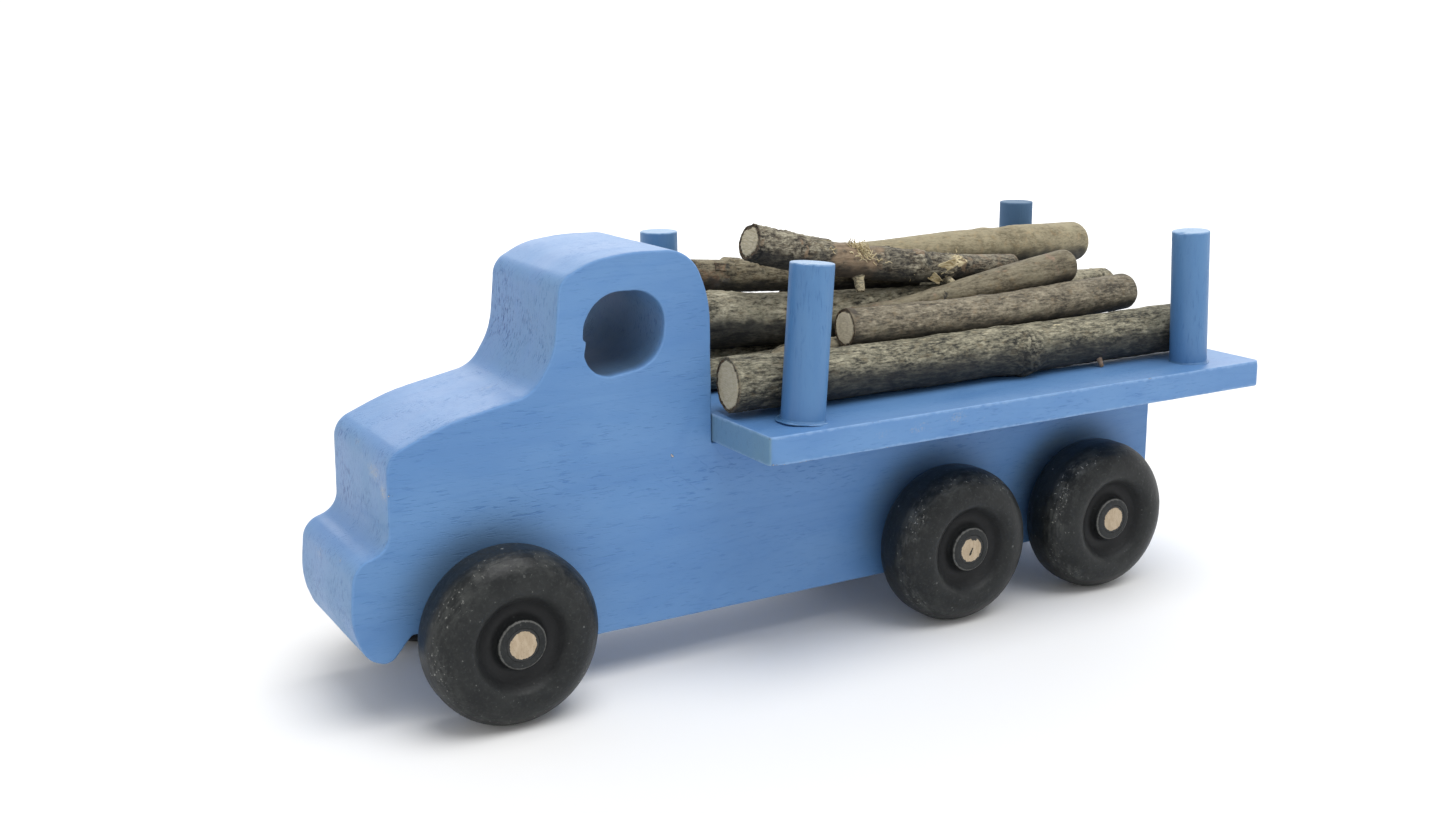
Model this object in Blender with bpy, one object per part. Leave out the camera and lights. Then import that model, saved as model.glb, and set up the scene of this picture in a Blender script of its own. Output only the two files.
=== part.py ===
"""Wooden toy log truck: a thick cab-and-chassis board, a flatbed with four
stakes, three dowel axles with two wheels each, and a load of twelve cut branches.

Frame: metres, +Z up. The ground is z = 0, the board's middle plane is x = 0,
the truck faces -Y, its left side is +X, and y = 0 is the middle of its length.
"""

import math

import bmesh
import bpy
from mathutils import Matrix, Vector

MM = 0.001

# ---------------------------------------------------------------- dimensions
GAP = 0.35                 # clearance between glued or running neighbours

# overall: the bumper's foremost point and the flatbed's rear edge
NOSE_Y = -40.9             # from the front axle
TAIL_Y = 267.7
MID_Y = (NOSE_Y + TAIL_Y) / 2

BOARD_T = 48.6             # thickness of the cab-and-chassis board
CHASSIS_BOTTOM_Z = 14.5
CHASSIS_TOP_Z = 67.5
CHASSIS_REAR_Y = 250.0
ROOF_Z = 127.0

DECK_T = 8.6               # flatbed
DECK_W = 115.0
DECK_FRONT_Y = 71.9
DECK_BOTTOM_Z = CHASSIS_TOP_Z + GAP
DECK_TOP_Z = DECK_BOTTOM_Z + DECK_T
DECK_CORNER_R = 1.2

STAKE_D = 12.7             # 1/2 inch dowel, before sanding and paint
STAKE_X = 45.0
STAKE_FRONT_Y = 91.1
STAKE_REAR_Y = 244.9
STAKE_TOP_Z = 122.3

WHEEL_D = 50.8             # 2 inch wheel
WHEEL_W = 20.5
WHEEL_SHOULDER_R = 9.2
WHEEL_X = 36.55            # middle plane of a wheel
HUB_R = 7.2
HUB_FACE_X = 45.5
RECESS_R = 12.9
RECESS_DEPTH = 5.0
AXLE_D = 9.5               # 3/8 inch dowel
AXLE_Z = WHEEL_D / 2
AXLE_Y = {"front": 0.0, "middle": 154.4, "rear": 215.1}

# ---------------------------------------------------------------- outlines
# The board's outline in the YZ plane: corner (y, z) and the radius that rounds it.
BOARD_OUTLINE = [
    (CHASSIS_REAR_Y, CHASSIS_BOTTOM_Z, 2),
    (-13.5, CHASSIS_BOTTOM_Z, 2),      # front lower corner of the chassis
    (-17.0, 26.0, 3),                  # scallop behind the bumper
    (-24.0, 26.0, 2),
    (-30.5, 18.3, 4),                  # bumper lobe
    (-37.0, 21.0, 11),
    (-41.0, 31.5, 24),
    (-39.5, 48.0, 7),
    (-29.0, 51.5, 7),                  # foot of the grille
    (-28.5, 77.5, 7),                  # front edge of the hood
    (-11.0, 84.5, 55),
    (14.5, 89.5, 11),                  # foot of the windshield
    (21.5, 100.0, 25),
    (23.5, 120.5, 7),
    (33.5, 125.5, 25),
    (45.5, ROOF_Z, 60),
    (65.5, ROOF_Z - 0.5, 14),
    (DECK_FRONT_Y - GAP, 110.5, 35),   # cab's back
    (DECK_FRONT_Y - GAP, CHASSIS_TOP_Z, 0),
    (CHASSIS_REAR_Y, CHASSIS_TOP_Z, 1),
]
WINDOW_OUTLINE = [(31.0, 90.5, 8.5), (55.0, 94.0, 11.0), (57.5, 115.5, 10.0), (30.0, 116.5, 12.0)]

# Logs, in stacking order. Plan position (x, y) of the axis at its front end,
# middle and rear end; how much higher the middle and the rear end lie than
# the front end; the radius at the three places; how far back the front cut
# slants at the top of the log. Each log is then let down until it rests.
LOGS = [
    ("log_01_bottom_left", (29.5, 73.4), (29.8, 152.6), (30.0, 258.6), (-1.2, -0.8), (8.3, 7.9, 8.2), 0),
    ("log_02_bottom_inner_left", (12.6, 88.5), (12.3, 146.0), (11.6, 205.0), (0.0, 0.0), (7.5, 7.7, 7.4), 13),
    ("log_03_bottom_middle", (-2.0, 79.4), (-2.4, 161.5), (-2.4, 245.5), (0.0, 0.0), (5.0, 5.1, 5.0), 0),
    ("log_04_bottom_inner_right", (-18.4, 76.4), (-17.5, 159.3), (-16.1, 240.1), (0.1, 0.0), (5.6, 5.8, 5.8), 0),
    ("log_05_bottom_right", (-31.8, 84.7), (-31.9, 165.7), (-31.3, 249.7), (0.2, 0.2), (6.0, 6.2, 6.2), 0),
    ("log_06_second_left", (20.3, 121.7), (20.5, 177.8), (17.3, 243.9), (-0.6, 0.4), (6.1, 6.0, 6.3), 0),
    ("log_07_second_right", (-28.4, 130.7), (-29.4, 190.0), (-23.8, 244.9), (0.7, -0.8), (6.2, 6.4, 6.2), 0),
    ("log_08_second_middle", (-13.0, 85.0), (-4.5, 153.2), (3.1, 248.4), (-1.9, -0.5), (9.0, 7.8, 6.6), 0),
    ("log_09_tapered_left", (9.3, 141.2), (10.4, 178.4), (10.2, 222.4), (4.5, 9.9), (1.6, 4.9, 5.9), 3),
    ("log_10_upper_right", (-22.0, 90.2), (-22.0, 128.7), (-20.4, 179.2), (-4.3, -8.3), (5.0, 5.2, 4.6), 0),
    ("log_11_top_right", (-11.9, 145.2), (-15.3, 198.7), (-25.6, 258.0), (-0.4, -3.5), (5.6, 6.8, 7.4), 0),
    ("log_12_top_left", (-3.4, 100.4), (0.3, 149.4), (-2.5, 208.0), (-11.0, -16.2), (5.9, 5.6, 3.6), 0),
]
LOG_GAP = 0.5
LOG_SIDES = 12
LOG_RINGS = 11

# ---------------------------------------------------------------- materials
BLUE = ((0.13, 0.30, 0.62, 1), 0.55, 0.0)
BLACK = ((0.018, 0.020, 0.022, 1), 0.45, 0.0)
BARE = ((0.58, 0.44, 0.30, 1), 0.7, 0.0)
BARK = ((0.17, 0.14, 0.10, 1), 0.9, 0.0)


def material(name, look):
    colour, roughness, metallic = look
    mat = bpy.data.materials.new(name)
    mat.use_nodes = True
    shader = next(n for n in mat.node_tree.nodes if n.type == "BSDF_PRINCIPLED")
    shader.inputs["Base Color"].default_value = colour
    shader.inputs["Roughness"].default_value = roughness
    shader.inputs["Metallic"].default_value = metallic
    mat.diffuse_color = colour
    return mat


# ---------------------------------------------------------------- helpers
def clear_scene():
    for obj in list(bpy.data.objects):
        bpy.data.objects.remove(obj, do_unlink=True)


def add(name, bm, look, smooth=None, location=(0, 0, 0)):
    """Makes one object from bm (millimetres, row frame) with its origin at location."""
    bmesh.ops.recalc_face_normals(bm, faces=bm.faces)
    bmesh.ops.transform(bm, matrix=Matrix.Scale(MM, 4), verts=bm.verts)
    where = Vector(location) * MM
    bmesh.ops.translate(bm, vec=-where, verts=bm.verts)
    mesh = bpy.data.meshes.new(name)
    bm.to_mesh(mesh)
    bm.free()
    obj = bpy.data.objects.new(name, mesh)
    obj.location = where
    bpy.context.scene.collection.objects.link(obj)
    if look is not None:
        mesh.materials.append(material(name, look))
    if smooth is not None:
        mesh.shade_smooth()
        mesh.set_sharp_from_angle(angle=math.radians(smooth))
    return obj


def cutter(name, bm):
    obj = add(name, bm, None)
    obj.hide_render = True
    obj.display_type = "WIRE"
    return obj


def cut(obj, tool):
    boolean = obj.modifiers.new("cut_" + tool.name, "BOOLEAN")
    boolean.operation = "DIFFERENCE"
    boolean.solver = "EXACT"
    boolean.object = tool


def rounded(corners, step_deg=9.0):
    """The outline of a polygon whose corners (u, v, radius) are rounded by arcs."""
    points = []
    count = len(corners)
    for i, (u, v, radius) in enumerate(corners):
        here = Vector((u, v))
        before = Vector(corners[i - 1][:2]) - here
        after = Vector(corners[(i + 1) % count][:2]) - here
        length_a, length_b = before.length, after.length
        before.normalize()
        after.normalize()
        angle = math.acos(max(-1.0, min(1.0, before.dot(after))))
        turn = math.pi - angle
        if radius <= 0 or turn < 0.02:
            points.append(here)
            continue
        run = min(radius / math.tan(angle / 2), 0.49 * length_a, 0.49 * length_b)
        radius = run * math.tan(angle / 2)
        centre = here + (before + after).normalized() * (radius / math.sin(angle / 2))
        start = here + before * run - centre
        end = here + after * run - centre
        steps = max(2, math.ceil(turn / math.radians(step_deg)))
        first = math.atan2(start.y, start.x)
        sweep = (math.atan2(end.y, end.x) - first + math.pi) % (2 * math.pi) - math.pi
        for k in range(steps + 1):
            a = first + sweep * k / steps
            points.append(centre + radius * Vector((math.cos(a), math.sin(a))))
    return points


def extruded_x(outline, x0, x1):
    """The outline (y, z) extruded along X from x0 to x1."""
    bm = bmesh.new()
    verts = [bm.verts.new((x0, p[0] - MID_Y, p[1])) for p in outline]
    face = bm.faces.new(verts)
    swept = bmesh.ops.extrude_face_region(bm, geom=[face])
    moved = [g for g in swept["geom"] if isinstance(g, bmesh.types.BMVert)]
    bmesh.ops.translate(bm, vec=(x1 - x0, 0, 0), verts=moved)
    return bm


def cylinder_x(radius, x0, x1, y, z, sides):
    bm = bmesh.new()
    spot = Matrix.Translation(((x0 + x1) / 2, y - MID_Y, z)) @ Matrix.Rotation(math.pi / 2, 4, "Y")
    bmesh.ops.create_cone(bm, cap_ends=True, segments=sides, radius1=radius, radius2=radius, depth=x1 - x0, matrix=spot)
    return bm


def dowel(foot, head, radius, sides, chamfer=0.0):
    """A round rod from foot to head (row frame, mm), its upper edge eased."""
    axis = head - foot
    turn = axis.to_track_quat("Z", "Y").to_matrix().to_4x4()
    rings = [(0.0, radius), (axis.length - chamfer, radius)]
    if chamfer:
        rings.append((axis.length, radius - chamfer))
    bm = bmesh.new()
    loops = []
    for height, r in rings:
        loops.append([
            bm.verts.new(Matrix.Translation(foot) @ turn @ Vector((r * math.cos(a), r * math.sin(a), height)))
            for a in (2 * math.pi * k / sides for k in range(sides))
        ])
    join_loops(bm, loops)
    return bm


def join_loops(bm, loops):
    for low, high in zip(loops, loops[1:]):
        for k in range(len(low)):
            n = (k + 1) % len(low)
            bm.faces.new((low[k], low[n], high[n], high[k]))
    bm.faces.new(list(reversed(loops[0])))
    bm.faces.new(loops[-1])


# ---------------------------------------------------------------- the truck
def build_board():
    board = add(
        "cab_and_chassis",
        extruded_x(rounded(BOARD_OUTLINE), -BOARD_T / 2, BOARD_T / 2),
        BLUE,
        smooth=30,
    )
    half = BOARD_T / 2 + 3
    cut(board, cutter("window_cutter", extruded_x(rounded(WINDOW_OUTLINE, 12.0), -half, half)))
    for place, y in AXLE_Y.items():
        tool = cylinder_x(AXLE_D / 2 + GAP, -half, half, y, AXLE_Z, 24)
        cut(board, cutter(place + "_axle_bore_cutter", tool))
    return board


def stake_line(side, y, lean_x, lean_y, z):
    """A stake's axis at height z, for a stake that leans a little."""
    rise = z - DECK_TOP_Z
    return Vector((side * STAKE_X + lean_x * rise, y - MID_Y + lean_y * rise, z))


STAKES = {
    # name: (side, y, lean in x, lean in y, diameter, top), leans in mm per mm of height
    "stake_front_left": (1, STAKE_FRONT_Y - 0.6, -0.02, 0.08, STAKE_D + 0.5, STAKE_TOP_Z + 0.3),
    "stake_front_right": (-1, STAKE_FRONT_Y, 0.0, 0.0, STAKE_D - 0.2, STAKE_TOP_Z),
    "stake_rear_left": (1, STAKE_REAR_Y + 1.2, 0.0, -0.05, STAKE_D - 0.4, STAKE_TOP_Z - 1.2),
    "stake_rear_right": (-1, STAKE_REAR_Y, 0.0, 0.0, STAKE_D - 0.4, STAKE_TOP_Z + 0.3),
}


def build_deck_and_stakes():
    half = DECK_W / 2
    corners = [
        (-half, DECK_FRONT_Y - MID_Y, DECK_CORNER_R),
        (half, DECK_FRONT_Y - MID_Y, DECK_CORNER_R),
        (half, TAIL_Y - MID_Y, 2.5),
        (-half, TAIL_Y - MID_Y, 2.5),
    ]
    bm = bmesh.new()
    face = bm.faces.new([bm.verts.new((p.x, p.y, DECK_BOTTOM_Z)) for p in rounded(corners, 20)])
    swept = bmesh.ops.extrude_face_region(bm, geom=[face])
    moved = [g for g in swept["geom"] if isinstance(g, bmesh.types.BMVert)]
    bmesh.ops.translate(bm, vec=(0, 0, DECK_T), verts=moved)
    deck = add("flatbed_deck", bm, BLUE, smooth=30)
    for name, (side, y, lean_x, lean_y, diameter, top) in STAKES.items():
        foot = stake_line(side, y, lean_x, lean_y, DECK_BOTTOM_Z + 0.4)
        head = stake_line(side, y, lean_x, lean_y, top)
        add(name, dowel(foot, head, diameter / 2, 32, 0.4), BLUE, smooth=40, location=foot)
        low = stake_line(side, y, lean_x, lean_y, DECK_BOTTOM_Z - 5)
        high = stake_line(side, y, lean_x, lean_y, DECK_TOP_Z + 5)
        cut(deck, cutter(name + "_hole_cutter", dowel(low, high, diameter / 2 + GAP, 32)))


def wheel_profile():
    """(radius, x) of a left wheel, x measured outward from its middle plane."""
    outer = WHEEL_W / 2
    rim = WHEEL_D / 2
    shoulder = WHEEL_SHOULDER_R
    bore = AXLE_D / 2 + GAP
    hub = HUB_FACE_X - WHEEL_X
    profile = [(bore, -outer), (rim - 5.0, -outer)]
    for k in range(1, 3):                              # inner shoulder, tighter
        a = math.radians(90 * k / 2)
        profile.append((rim - 5.0 + 5.0 * math.sin(a), -outer + 5.0 * (1 - math.cos(a))))
    for k in range(5):                                 # outer shoulder
        a = math.radians(90 * k / 4)
        profile.append((rim - shoulder * (1 - math.cos(a)), outer - shoulder * (1 - math.sin(a))))
    profile += [
        (RECESS_R + 1.0, outer - 0.8),                 # lip and cone of the recess
        (RECESS_R - 0.6, outer - RECESS_DEPTH * 0.5),
        (RECESS_R - 3.2, outer - RECESS_DEPTH * 0.95),
        (HUB_R + 0.7, outer - RECESS_DEPTH),
        (HUB_R + 0.1, hub - 0.5),                      # hub boss
        (HUB_R - 0.6, hub),
        (bore, hub),
    ]
    return profile


def build_wheel(name, place, side):
    """A turned ring about its axle, its profile swept through a full turn."""
    sides = 32
    profile = wheel_profile()
    bm = bmesh.new()
    loops = []
    for radius, x in profile:
        loops.append([
            bm.verts.new((side * (WHEEL_X + x), AXLE_Y[place] - MID_Y + radius * math.cos(a), AXLE_Z + radius * math.sin(a)))
            for a in (2 * math.pi * k / sides for k in range(sides))
        ])
    for low, high in zip(loops, loops[1:] + loops[:1]):
        for k in range(sides):
            n = (k + 1) % sides
            bm.faces.new((low[k], low[n], high[n], high[k]))
    return add(name, bm, BLACK, smooth=42, location=(side * WHEEL_X, AXLE_Y[place] - MID_Y, AXLE_Z))


def build_running_gear():
    for place, y in AXLE_Y.items():
        axle = add(
            place + "_axle",
            cylinder_x(AXLE_D / 2, -HUB_FACE_X, HUB_FACE_X, y, AXLE_Z, 24),
            BARE,
            smooth=40,
            location=(0, y - MID_Y, AXLE_Z),
        )
        for side, word in ((1, "left"), (-1, "right")):
            wheel = build_wheel("wheel_%s_%s" % (place, word), place, side)
            wheel.parent = axle
            wheel.matrix_parent_inverse = Matrix.Translation(-axle.location)


# ---------------------------------------------------------------- the load
def through(a, b, c, t):
    """The value at t of the quadratic that is a, b and c at 0, 1/2 and 1."""
    return a * (2 * (t - 0.5) * (t - 1)) - b * (4 * t * (t - 1)) + c * (2 * t * (t - 0.5))


def log_axis(log, samples):
    name, front, middle, rear, rises, radii, slant = log
    line = []
    for k in range(samples):
        t = k / (samples - 1)
        line.append((
            Vector((through(front[0], middle[0], rear[0], t), through(front[1], middle[1], rear[1], t), through(0.0, rises[0], rises[1], t))),
            through(radii[0], radii[1], radii[2], t),
        ))
    return line


def resting_height(line, below):
    """How high the front end lies once the log rests on the deck or on a log below it."""
    height = max(DECK_TOP_Z + LOG_GAP + r - p.z for p, r in line)
    for other in below:
        for p, r in line:
            for q, s in other:
                reach = r + s + LOG_GAP
                flat = (p.x - q.x) ** 2 + (p.y - q.y) ** 2
                if flat < reach * reach:
                    height = max(height, q.z + math.sqrt(reach * reach - flat) - p.z)
    return height


def build_log(log, height):
    """A tube of LOG_RINGS rings about the log's axis, square to it at each ring."""
    name, slant = log[0], log[6]
    line = log_axis(log, LOG_RINGS)
    bm = bmesh.new()
    loops = []
    for i, (p, r) in enumerate(line):
        ahead = line[min(i + 1, LOG_RINGS - 1)][0] - line[max(i - 1, 0)][0]
        ahead.normalize()
        across = ahead.cross(Vector((0, 0, 1))).normalized()
        up = across.cross(ahead).normalized()
        centre = Vector((p.x, p.y - MID_Y, p.z + height))
        loop = []
        for k in range(LOG_SIDES):
            a = 2 * math.pi * (k + 0.5) / LOG_SIDES
            spot = centre + r * (math.cos(a) * across + math.sin(a) * up)
            if i == 0 and slant:
                spot += ahead * slant * (0.5 + 0.5 * math.sin(a))
            loop.append(bm.verts.new(spot))
        loops.append(loop)
    join_loops(bm, loops)
    return add(name, bm, BARK, smooth=40, location=(line[0][0].x, line[0][0].y - MID_Y, line[0][0].z + height))


def build_load():
    below = []
    for log in LOGS:
        line = log_axis(log, 60)
        height = resting_height(line, below)
        below.append([(Vector((p.x, p.y, p.z + height)), r) for p, r in line])
        build_log(log, height)


clear_scene()
build_board()
build_deck_and_stakes()
build_running_gear()
build_load()
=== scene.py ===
"""Looks of the wooden toy log truck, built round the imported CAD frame.

Every CAD node is replaced by a finely meshed piece of the same size and place:
a painted board with eased, worn edges, a painted flatbed, four painted stakes,
six turned black wheels, three dowel axles and twelve cut branches with bark.
Lengths here are in millimetres in the row frame until mesh() turns them into metres.
"""

import math

import bpy
import numpy as np
from mathutils import Matrix, Vector
from mathutils.geometry import delaunay_2d_cdt


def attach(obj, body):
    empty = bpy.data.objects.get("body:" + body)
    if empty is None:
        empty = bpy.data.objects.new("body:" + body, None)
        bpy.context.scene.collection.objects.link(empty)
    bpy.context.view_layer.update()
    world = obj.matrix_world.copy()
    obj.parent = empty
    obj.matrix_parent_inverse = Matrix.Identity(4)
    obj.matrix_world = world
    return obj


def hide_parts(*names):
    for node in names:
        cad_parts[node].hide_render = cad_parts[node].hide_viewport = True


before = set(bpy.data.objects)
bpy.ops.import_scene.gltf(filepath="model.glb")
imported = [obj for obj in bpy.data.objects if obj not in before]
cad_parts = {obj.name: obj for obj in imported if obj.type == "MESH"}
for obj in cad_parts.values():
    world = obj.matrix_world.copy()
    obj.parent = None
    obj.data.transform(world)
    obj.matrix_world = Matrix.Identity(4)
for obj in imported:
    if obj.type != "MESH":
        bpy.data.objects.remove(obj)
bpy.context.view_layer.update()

MM = 0.001

# ------------------------------------------------------------------ dimensions
# The same driving dimensions as the CAD part, in millimetres. The outlines'
# lengthways positions are from the front axle; MID_Y brings them to the row frame.
GAP = 0.35
MID_Y = (-40.9 + 267.7) / 2
BOARD_T = 48.6
CHASSIS_BOTTOM_Z = 14.5
CHASSIS_TOP_Z = 67.5
CHASSIS_REAR_Y = 250.0
ROOF_Z = 127.0
DECK_T = 8.6
DECK_W = 115.0
DECK_FRONT_Y = 71.9
DECK_REAR_Y = 267.7
DECK_BOTTOM_Z = CHASSIS_TOP_Z + GAP
DECK_TOP_Z = DECK_BOTTOM_Z + DECK_T
STAKE_X = 45.0
WHEEL_D = 50.8
WHEEL_W = 20.5
WHEEL_X = 36.55
HUB_R = 7.2
HUB_FACE_X = 45.5
AXLE_D = 9.5
AXLE_Z = WHEEL_D / 2
AXLE_Y = {"front": 0.0, "middle": 154.4, "rear": 215.1}

BOARD_OUTLINE = [
    (CHASSIS_REAR_Y, CHASSIS_BOTTOM_Z, 2),
    (-13.5, CHASSIS_BOTTOM_Z, 2),
    (-17.0, 26.0, 3),
    (-24.0, 26.0, 2),
    (-30.5, 18.3, 4),
    (-37.0, 21.0, 11),
    (-41.0, 31.5, 24),
    (-39.5, 48.0, 7),
    (-29.0, 51.5, 7),
    (-28.5, 77.5, 7),
    (-11.0, 84.5, 55),
    (14.5, 89.5, 11),
    (21.5, 100.0, 25),
    (23.5, 120.5, 7),
    (33.5, 125.5, 25),
    (45.5, ROOF_Z, 60),
    (65.5, ROOF_Z - 0.5, 14),
    (DECK_FRONT_Y - GAP, 110.5, 35),
    (DECK_FRONT_Y - GAP, CHASSIS_TOP_Z, 0),
    (CHASSIS_REAR_Y, CHASSIS_TOP_Z, 1),
]
WINDOW_OUTLINE = [(31.0, 90.5, 8.5), (55.0, 94.0, 11.0), (57.5, 115.5, 10.0), (30.0, 116.5, 12.0)]

# name: (side, y, lean in x, lean in y, diameter, top)
STAKES = {
    "stake_front_left": (1, 90.5, -0.02, 0.08, 13.2, 122.6),
    "stake_front_right": (-1, 91.1, 0.0, 0.0, 12.5, 122.3),
    "stake_rear_left": (1, 246.1, 0.0, -0.05, 12.3, 121.1),
    "stake_rear_right": (-1, 244.9, 0.0, 0.0, 12.3, 122.6),
}

# name, plan position (x, y) of the axis at front, middle and rear, rise of the
# middle and rear over the front, radii, slant of the front cut
LOGS = [
    ("log_01_bottom_left", (29.5, 73.4), (29.8, 152.6), (30.0, 258.6), (-1.2, -0.8), (8.3, 7.9, 8.2), 0),
    ("log_02_bottom_inner_left", (12.6, 88.5), (12.3, 146.0), (11.6, 205.0), (0.0, 0.0), (7.5, 7.7, 7.4), 13),
    ("log_03_bottom_middle", (-2.0, 79.4), (-2.4, 161.5), (-2.4, 245.5), (0.0, 0.0), (5.0, 5.1, 5.0), 0),
    ("log_04_bottom_inner_right", (-18.4, 76.4), (-17.5, 159.3), (-16.1, 240.1), (0.1, 0.0), (5.6, 5.8, 5.8), 0),
    ("log_05_bottom_right", (-31.8, 84.7), (-31.9, 165.7), (-31.3, 249.7), (0.2, 0.2), (6.0, 6.2, 6.2), 0),
    ("log_06_second_left", (20.3, 121.7), (20.5, 177.8), (17.3, 243.9), (-0.6, 0.4), (6.1, 6.0, 6.3), 0),
    ("log_07_second_right", (-28.4, 130.7), (-29.4, 190.0), (-23.8, 244.9), (0.7, -0.8), (6.2, 6.4, 6.2), 0),
    ("log_08_second_middle", (-13.0, 85.0), (-4.5, 153.2), (3.1, 248.4), (-1.9, -0.5), (9.0, 7.8, 6.6), 0),
    ("log_09_tapered_left", (9.3, 141.2), (10.4, 178.4), (10.2, 222.4), (4.5, 9.9), (1.6, 4.9, 5.9), 3),
    ("log_10_upper_right", (-22.0, 90.2), (-22.0, 128.7), (-20.4, 179.2), (-4.3, -8.3), (5.0, 5.2, 4.6), 0),
    ("log_11_top_right", (-11.9, 145.2), (-15.3, 198.7), (-25.6, 258.0), (-0.4, -3.5), (5.6, 6.8, 7.4), 0),
    ("log_12_top_left", (-3.4, 100.4), (0.3, 149.4), (-2.5, 208.0), (-11.0, -16.2), (5.9, 5.6, 3.6), 0),
]
LOG_GAP = 0.5


# ------------------------------------------------------------------ noise
def lattice(i, j, k, seed):
    """A number from 0 to 15 for each lattice point, always the same for the same seed."""
    n = (i * 374761393 + j * 668265263 + k * 1274126177 + seed * 974634777) & 0xFFFFFFFF
    n = ((n ^ (n >> 13)) * 1274126177) & 0xFFFFFFFF
    return ((n ^ (n >> 16)) >> 3) & 15


EDGES = np.array([
    (1, 1, 0), (-1, 1, 0), (1, -1, 0), (-1, -1, 0), (1, 0, 1), (-1, 0, 1), (1, 0, -1), (-1, 0, -1),
    (0, 1, 1), (0, -1, 1), (0, 1, -1), (0, -1, -1), (1, 1, 0), (-1, 1, 0), (0, -1, 1), (0, -1, -1),
], float)


def noise(points, seed=0):
    """Gradient noise, about -1 to 1, at points (n, 3)."""
    cell = np.floor(points).astype(np.int64)
    f = points - cell
    w = f * f * f * (f * (f * 6 - 15) + 10)
    total = np.zeros(len(points))
    for corner in range(8):
        d = np.array([(corner >> b) & 1 for b in range(3)])
        c = cell + d
        g = EDGES[lattice(c[:, 0], c[:, 1], c[:, 2], seed)]
        dot = (g * (f - d)).sum(1)
        total += dot * np.where(d, w, 1 - w).prod(1)
    return total


def fractal(points, seed=0, octaves=3, gain=0.5):
    total, size = np.zeros(len(points)), 1.0
    for k in range(octaves):
        total += size * noise(points * 2.03**k + 17.3 * k, seed + 31 * k)
        size *= gain
    return total


def smooth(x, low, high):
    t = np.clip((x - low) / (high - low), 0, 1)
    return t * t * (3 - 2 * t)


# ------------------------------------------------------------------ meshes
def mesh(name, points, quads, tris, material, attributes=None, vectors=None):
    """A closed mesh from points in millimetres, its faces turned outward, smooth shaded."""
    points = np.asarray(points, float)
    quads = np.asarray(quads, np.int32).reshape(-1, 4)
    tris = np.asarray(tris, np.int32).reshape(-1, 3)
    halves = np.concatenate([quads[:, [0, 1, 2]], quads[:, [0, 2, 3]], tris])
    if np.einsum("ij,ij->i", points[halves[:, 0]], np.cross(points[halves[:, 1]], points[halves[:, 2]])).sum() < 0:
        quads, tris = quads[:, ::-1], tris[:, ::-1]
    data = bpy.data.meshes.new(name)
    data.vertices.add(len(points))
    data.vertices.foreach_set("co", (points * MM).astype(np.float32).ravel())
    loops = np.concatenate([quads.ravel(), tris.ravel()])
    data.loops.add(len(loops))
    data.loops.foreach_set("vertex_index", loops)
    starts = np.concatenate([np.arange(len(quads)) * 4, len(quads) * 4 + np.arange(len(tris)) * 3])
    data.polygons.add(len(starts))
    data.polygons.foreach_set("loop_start", starts.astype(np.int32))
    data.update(calc_edges=True)
    data.validate()
    data.shade_smooth()
    for key, values in (attributes or {}).items():
        data.attributes.new(key, "FLOAT", "POINT").data.foreach_set("value", np.asarray(values, np.float32))
    for key, values in (vectors or {}).items():
        data.attributes.new(key, "FLOAT_VECTOR", "POINT").data.foreach_set("vector", np.asarray(values, np.float32).ravel())
    data.materials.append(material)
    obj = bpy.data.objects.new(name, data)
    bpy.context.scene.collection.objects.link(obj)
    return obj


def normals_of(points, quads, tris):
    """Outward point normals, weighted by area, for a closed mesh of either winding."""
    halves = np.concatenate([quads[:, [0, 1, 2]], quads[:, [0, 2, 3]], tris])
    a, b, c = (points[halves[:, k]] for k in range(3))
    n = np.cross(b - a, c - a)
    total = np.zeros_like(points)
    for k in range(3):
        np.add.at(total, halves[:, k], n)
    if np.einsum("ij,ij->i", a, np.cross(b, c)).sum() < 0:
        total = -total
    return total / np.maximum(np.linalg.norm(total, axis=1, keepdims=True), 1e-12)


def strips(rows, around):
    """Quads between successive closed rows of the same count, as point numbers."""
    base = np.arange(rows - 1)[:, None] * around
    k = np.arange(around)[None, :]
    n = (k + 1) % around
    return np.stack([base + k, base + n, base + around + n, base + around + k], -1).reshape(-1, 4)


def rounded(corners, step_deg=4.0):
    """The outline of a polygon whose corners (u, v, radius) are rounded by arcs."""
    points = []
    count = len(corners)
    for i, (u, v, radius) in enumerate(corners):
        here = Vector((u, v))
        before = Vector(corners[i - 1][:2]) - here
        after = Vector(corners[(i + 1) % count][:2]) - here
        length_a, length_b = before.length, after.length
        before.normalize()
        after.normalize()
        angle = math.acos(max(-1.0, min(1.0, before.dot(after))))
        turn = math.pi - angle
        if radius <= 0 or turn < 0.02:
            points.append(here)
            continue
        run = min(radius / math.tan(angle / 2), 0.49 * length_a, 0.49 * length_b)
        radius = run * math.tan(angle / 2)
        centre = here + (before + after).normalized() * (radius / math.sin(angle / 2))
        start = here + before * run - centre
        end = here + after * run - centre
        steps = max(2, math.ceil(turn / math.radians(step_deg)))
        first = math.atan2(start.y, start.x)
        sweep = (math.atan2(end.y, end.x) - first + math.pi) % (2 * math.pi) - math.pi
        for k in range(steps + 1):
            a = first + sweep * k / steps
            points.append(centre + radius * Vector((math.cos(a), math.sin(a))))
    return np.array([tuple(p) for p in points])


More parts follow.
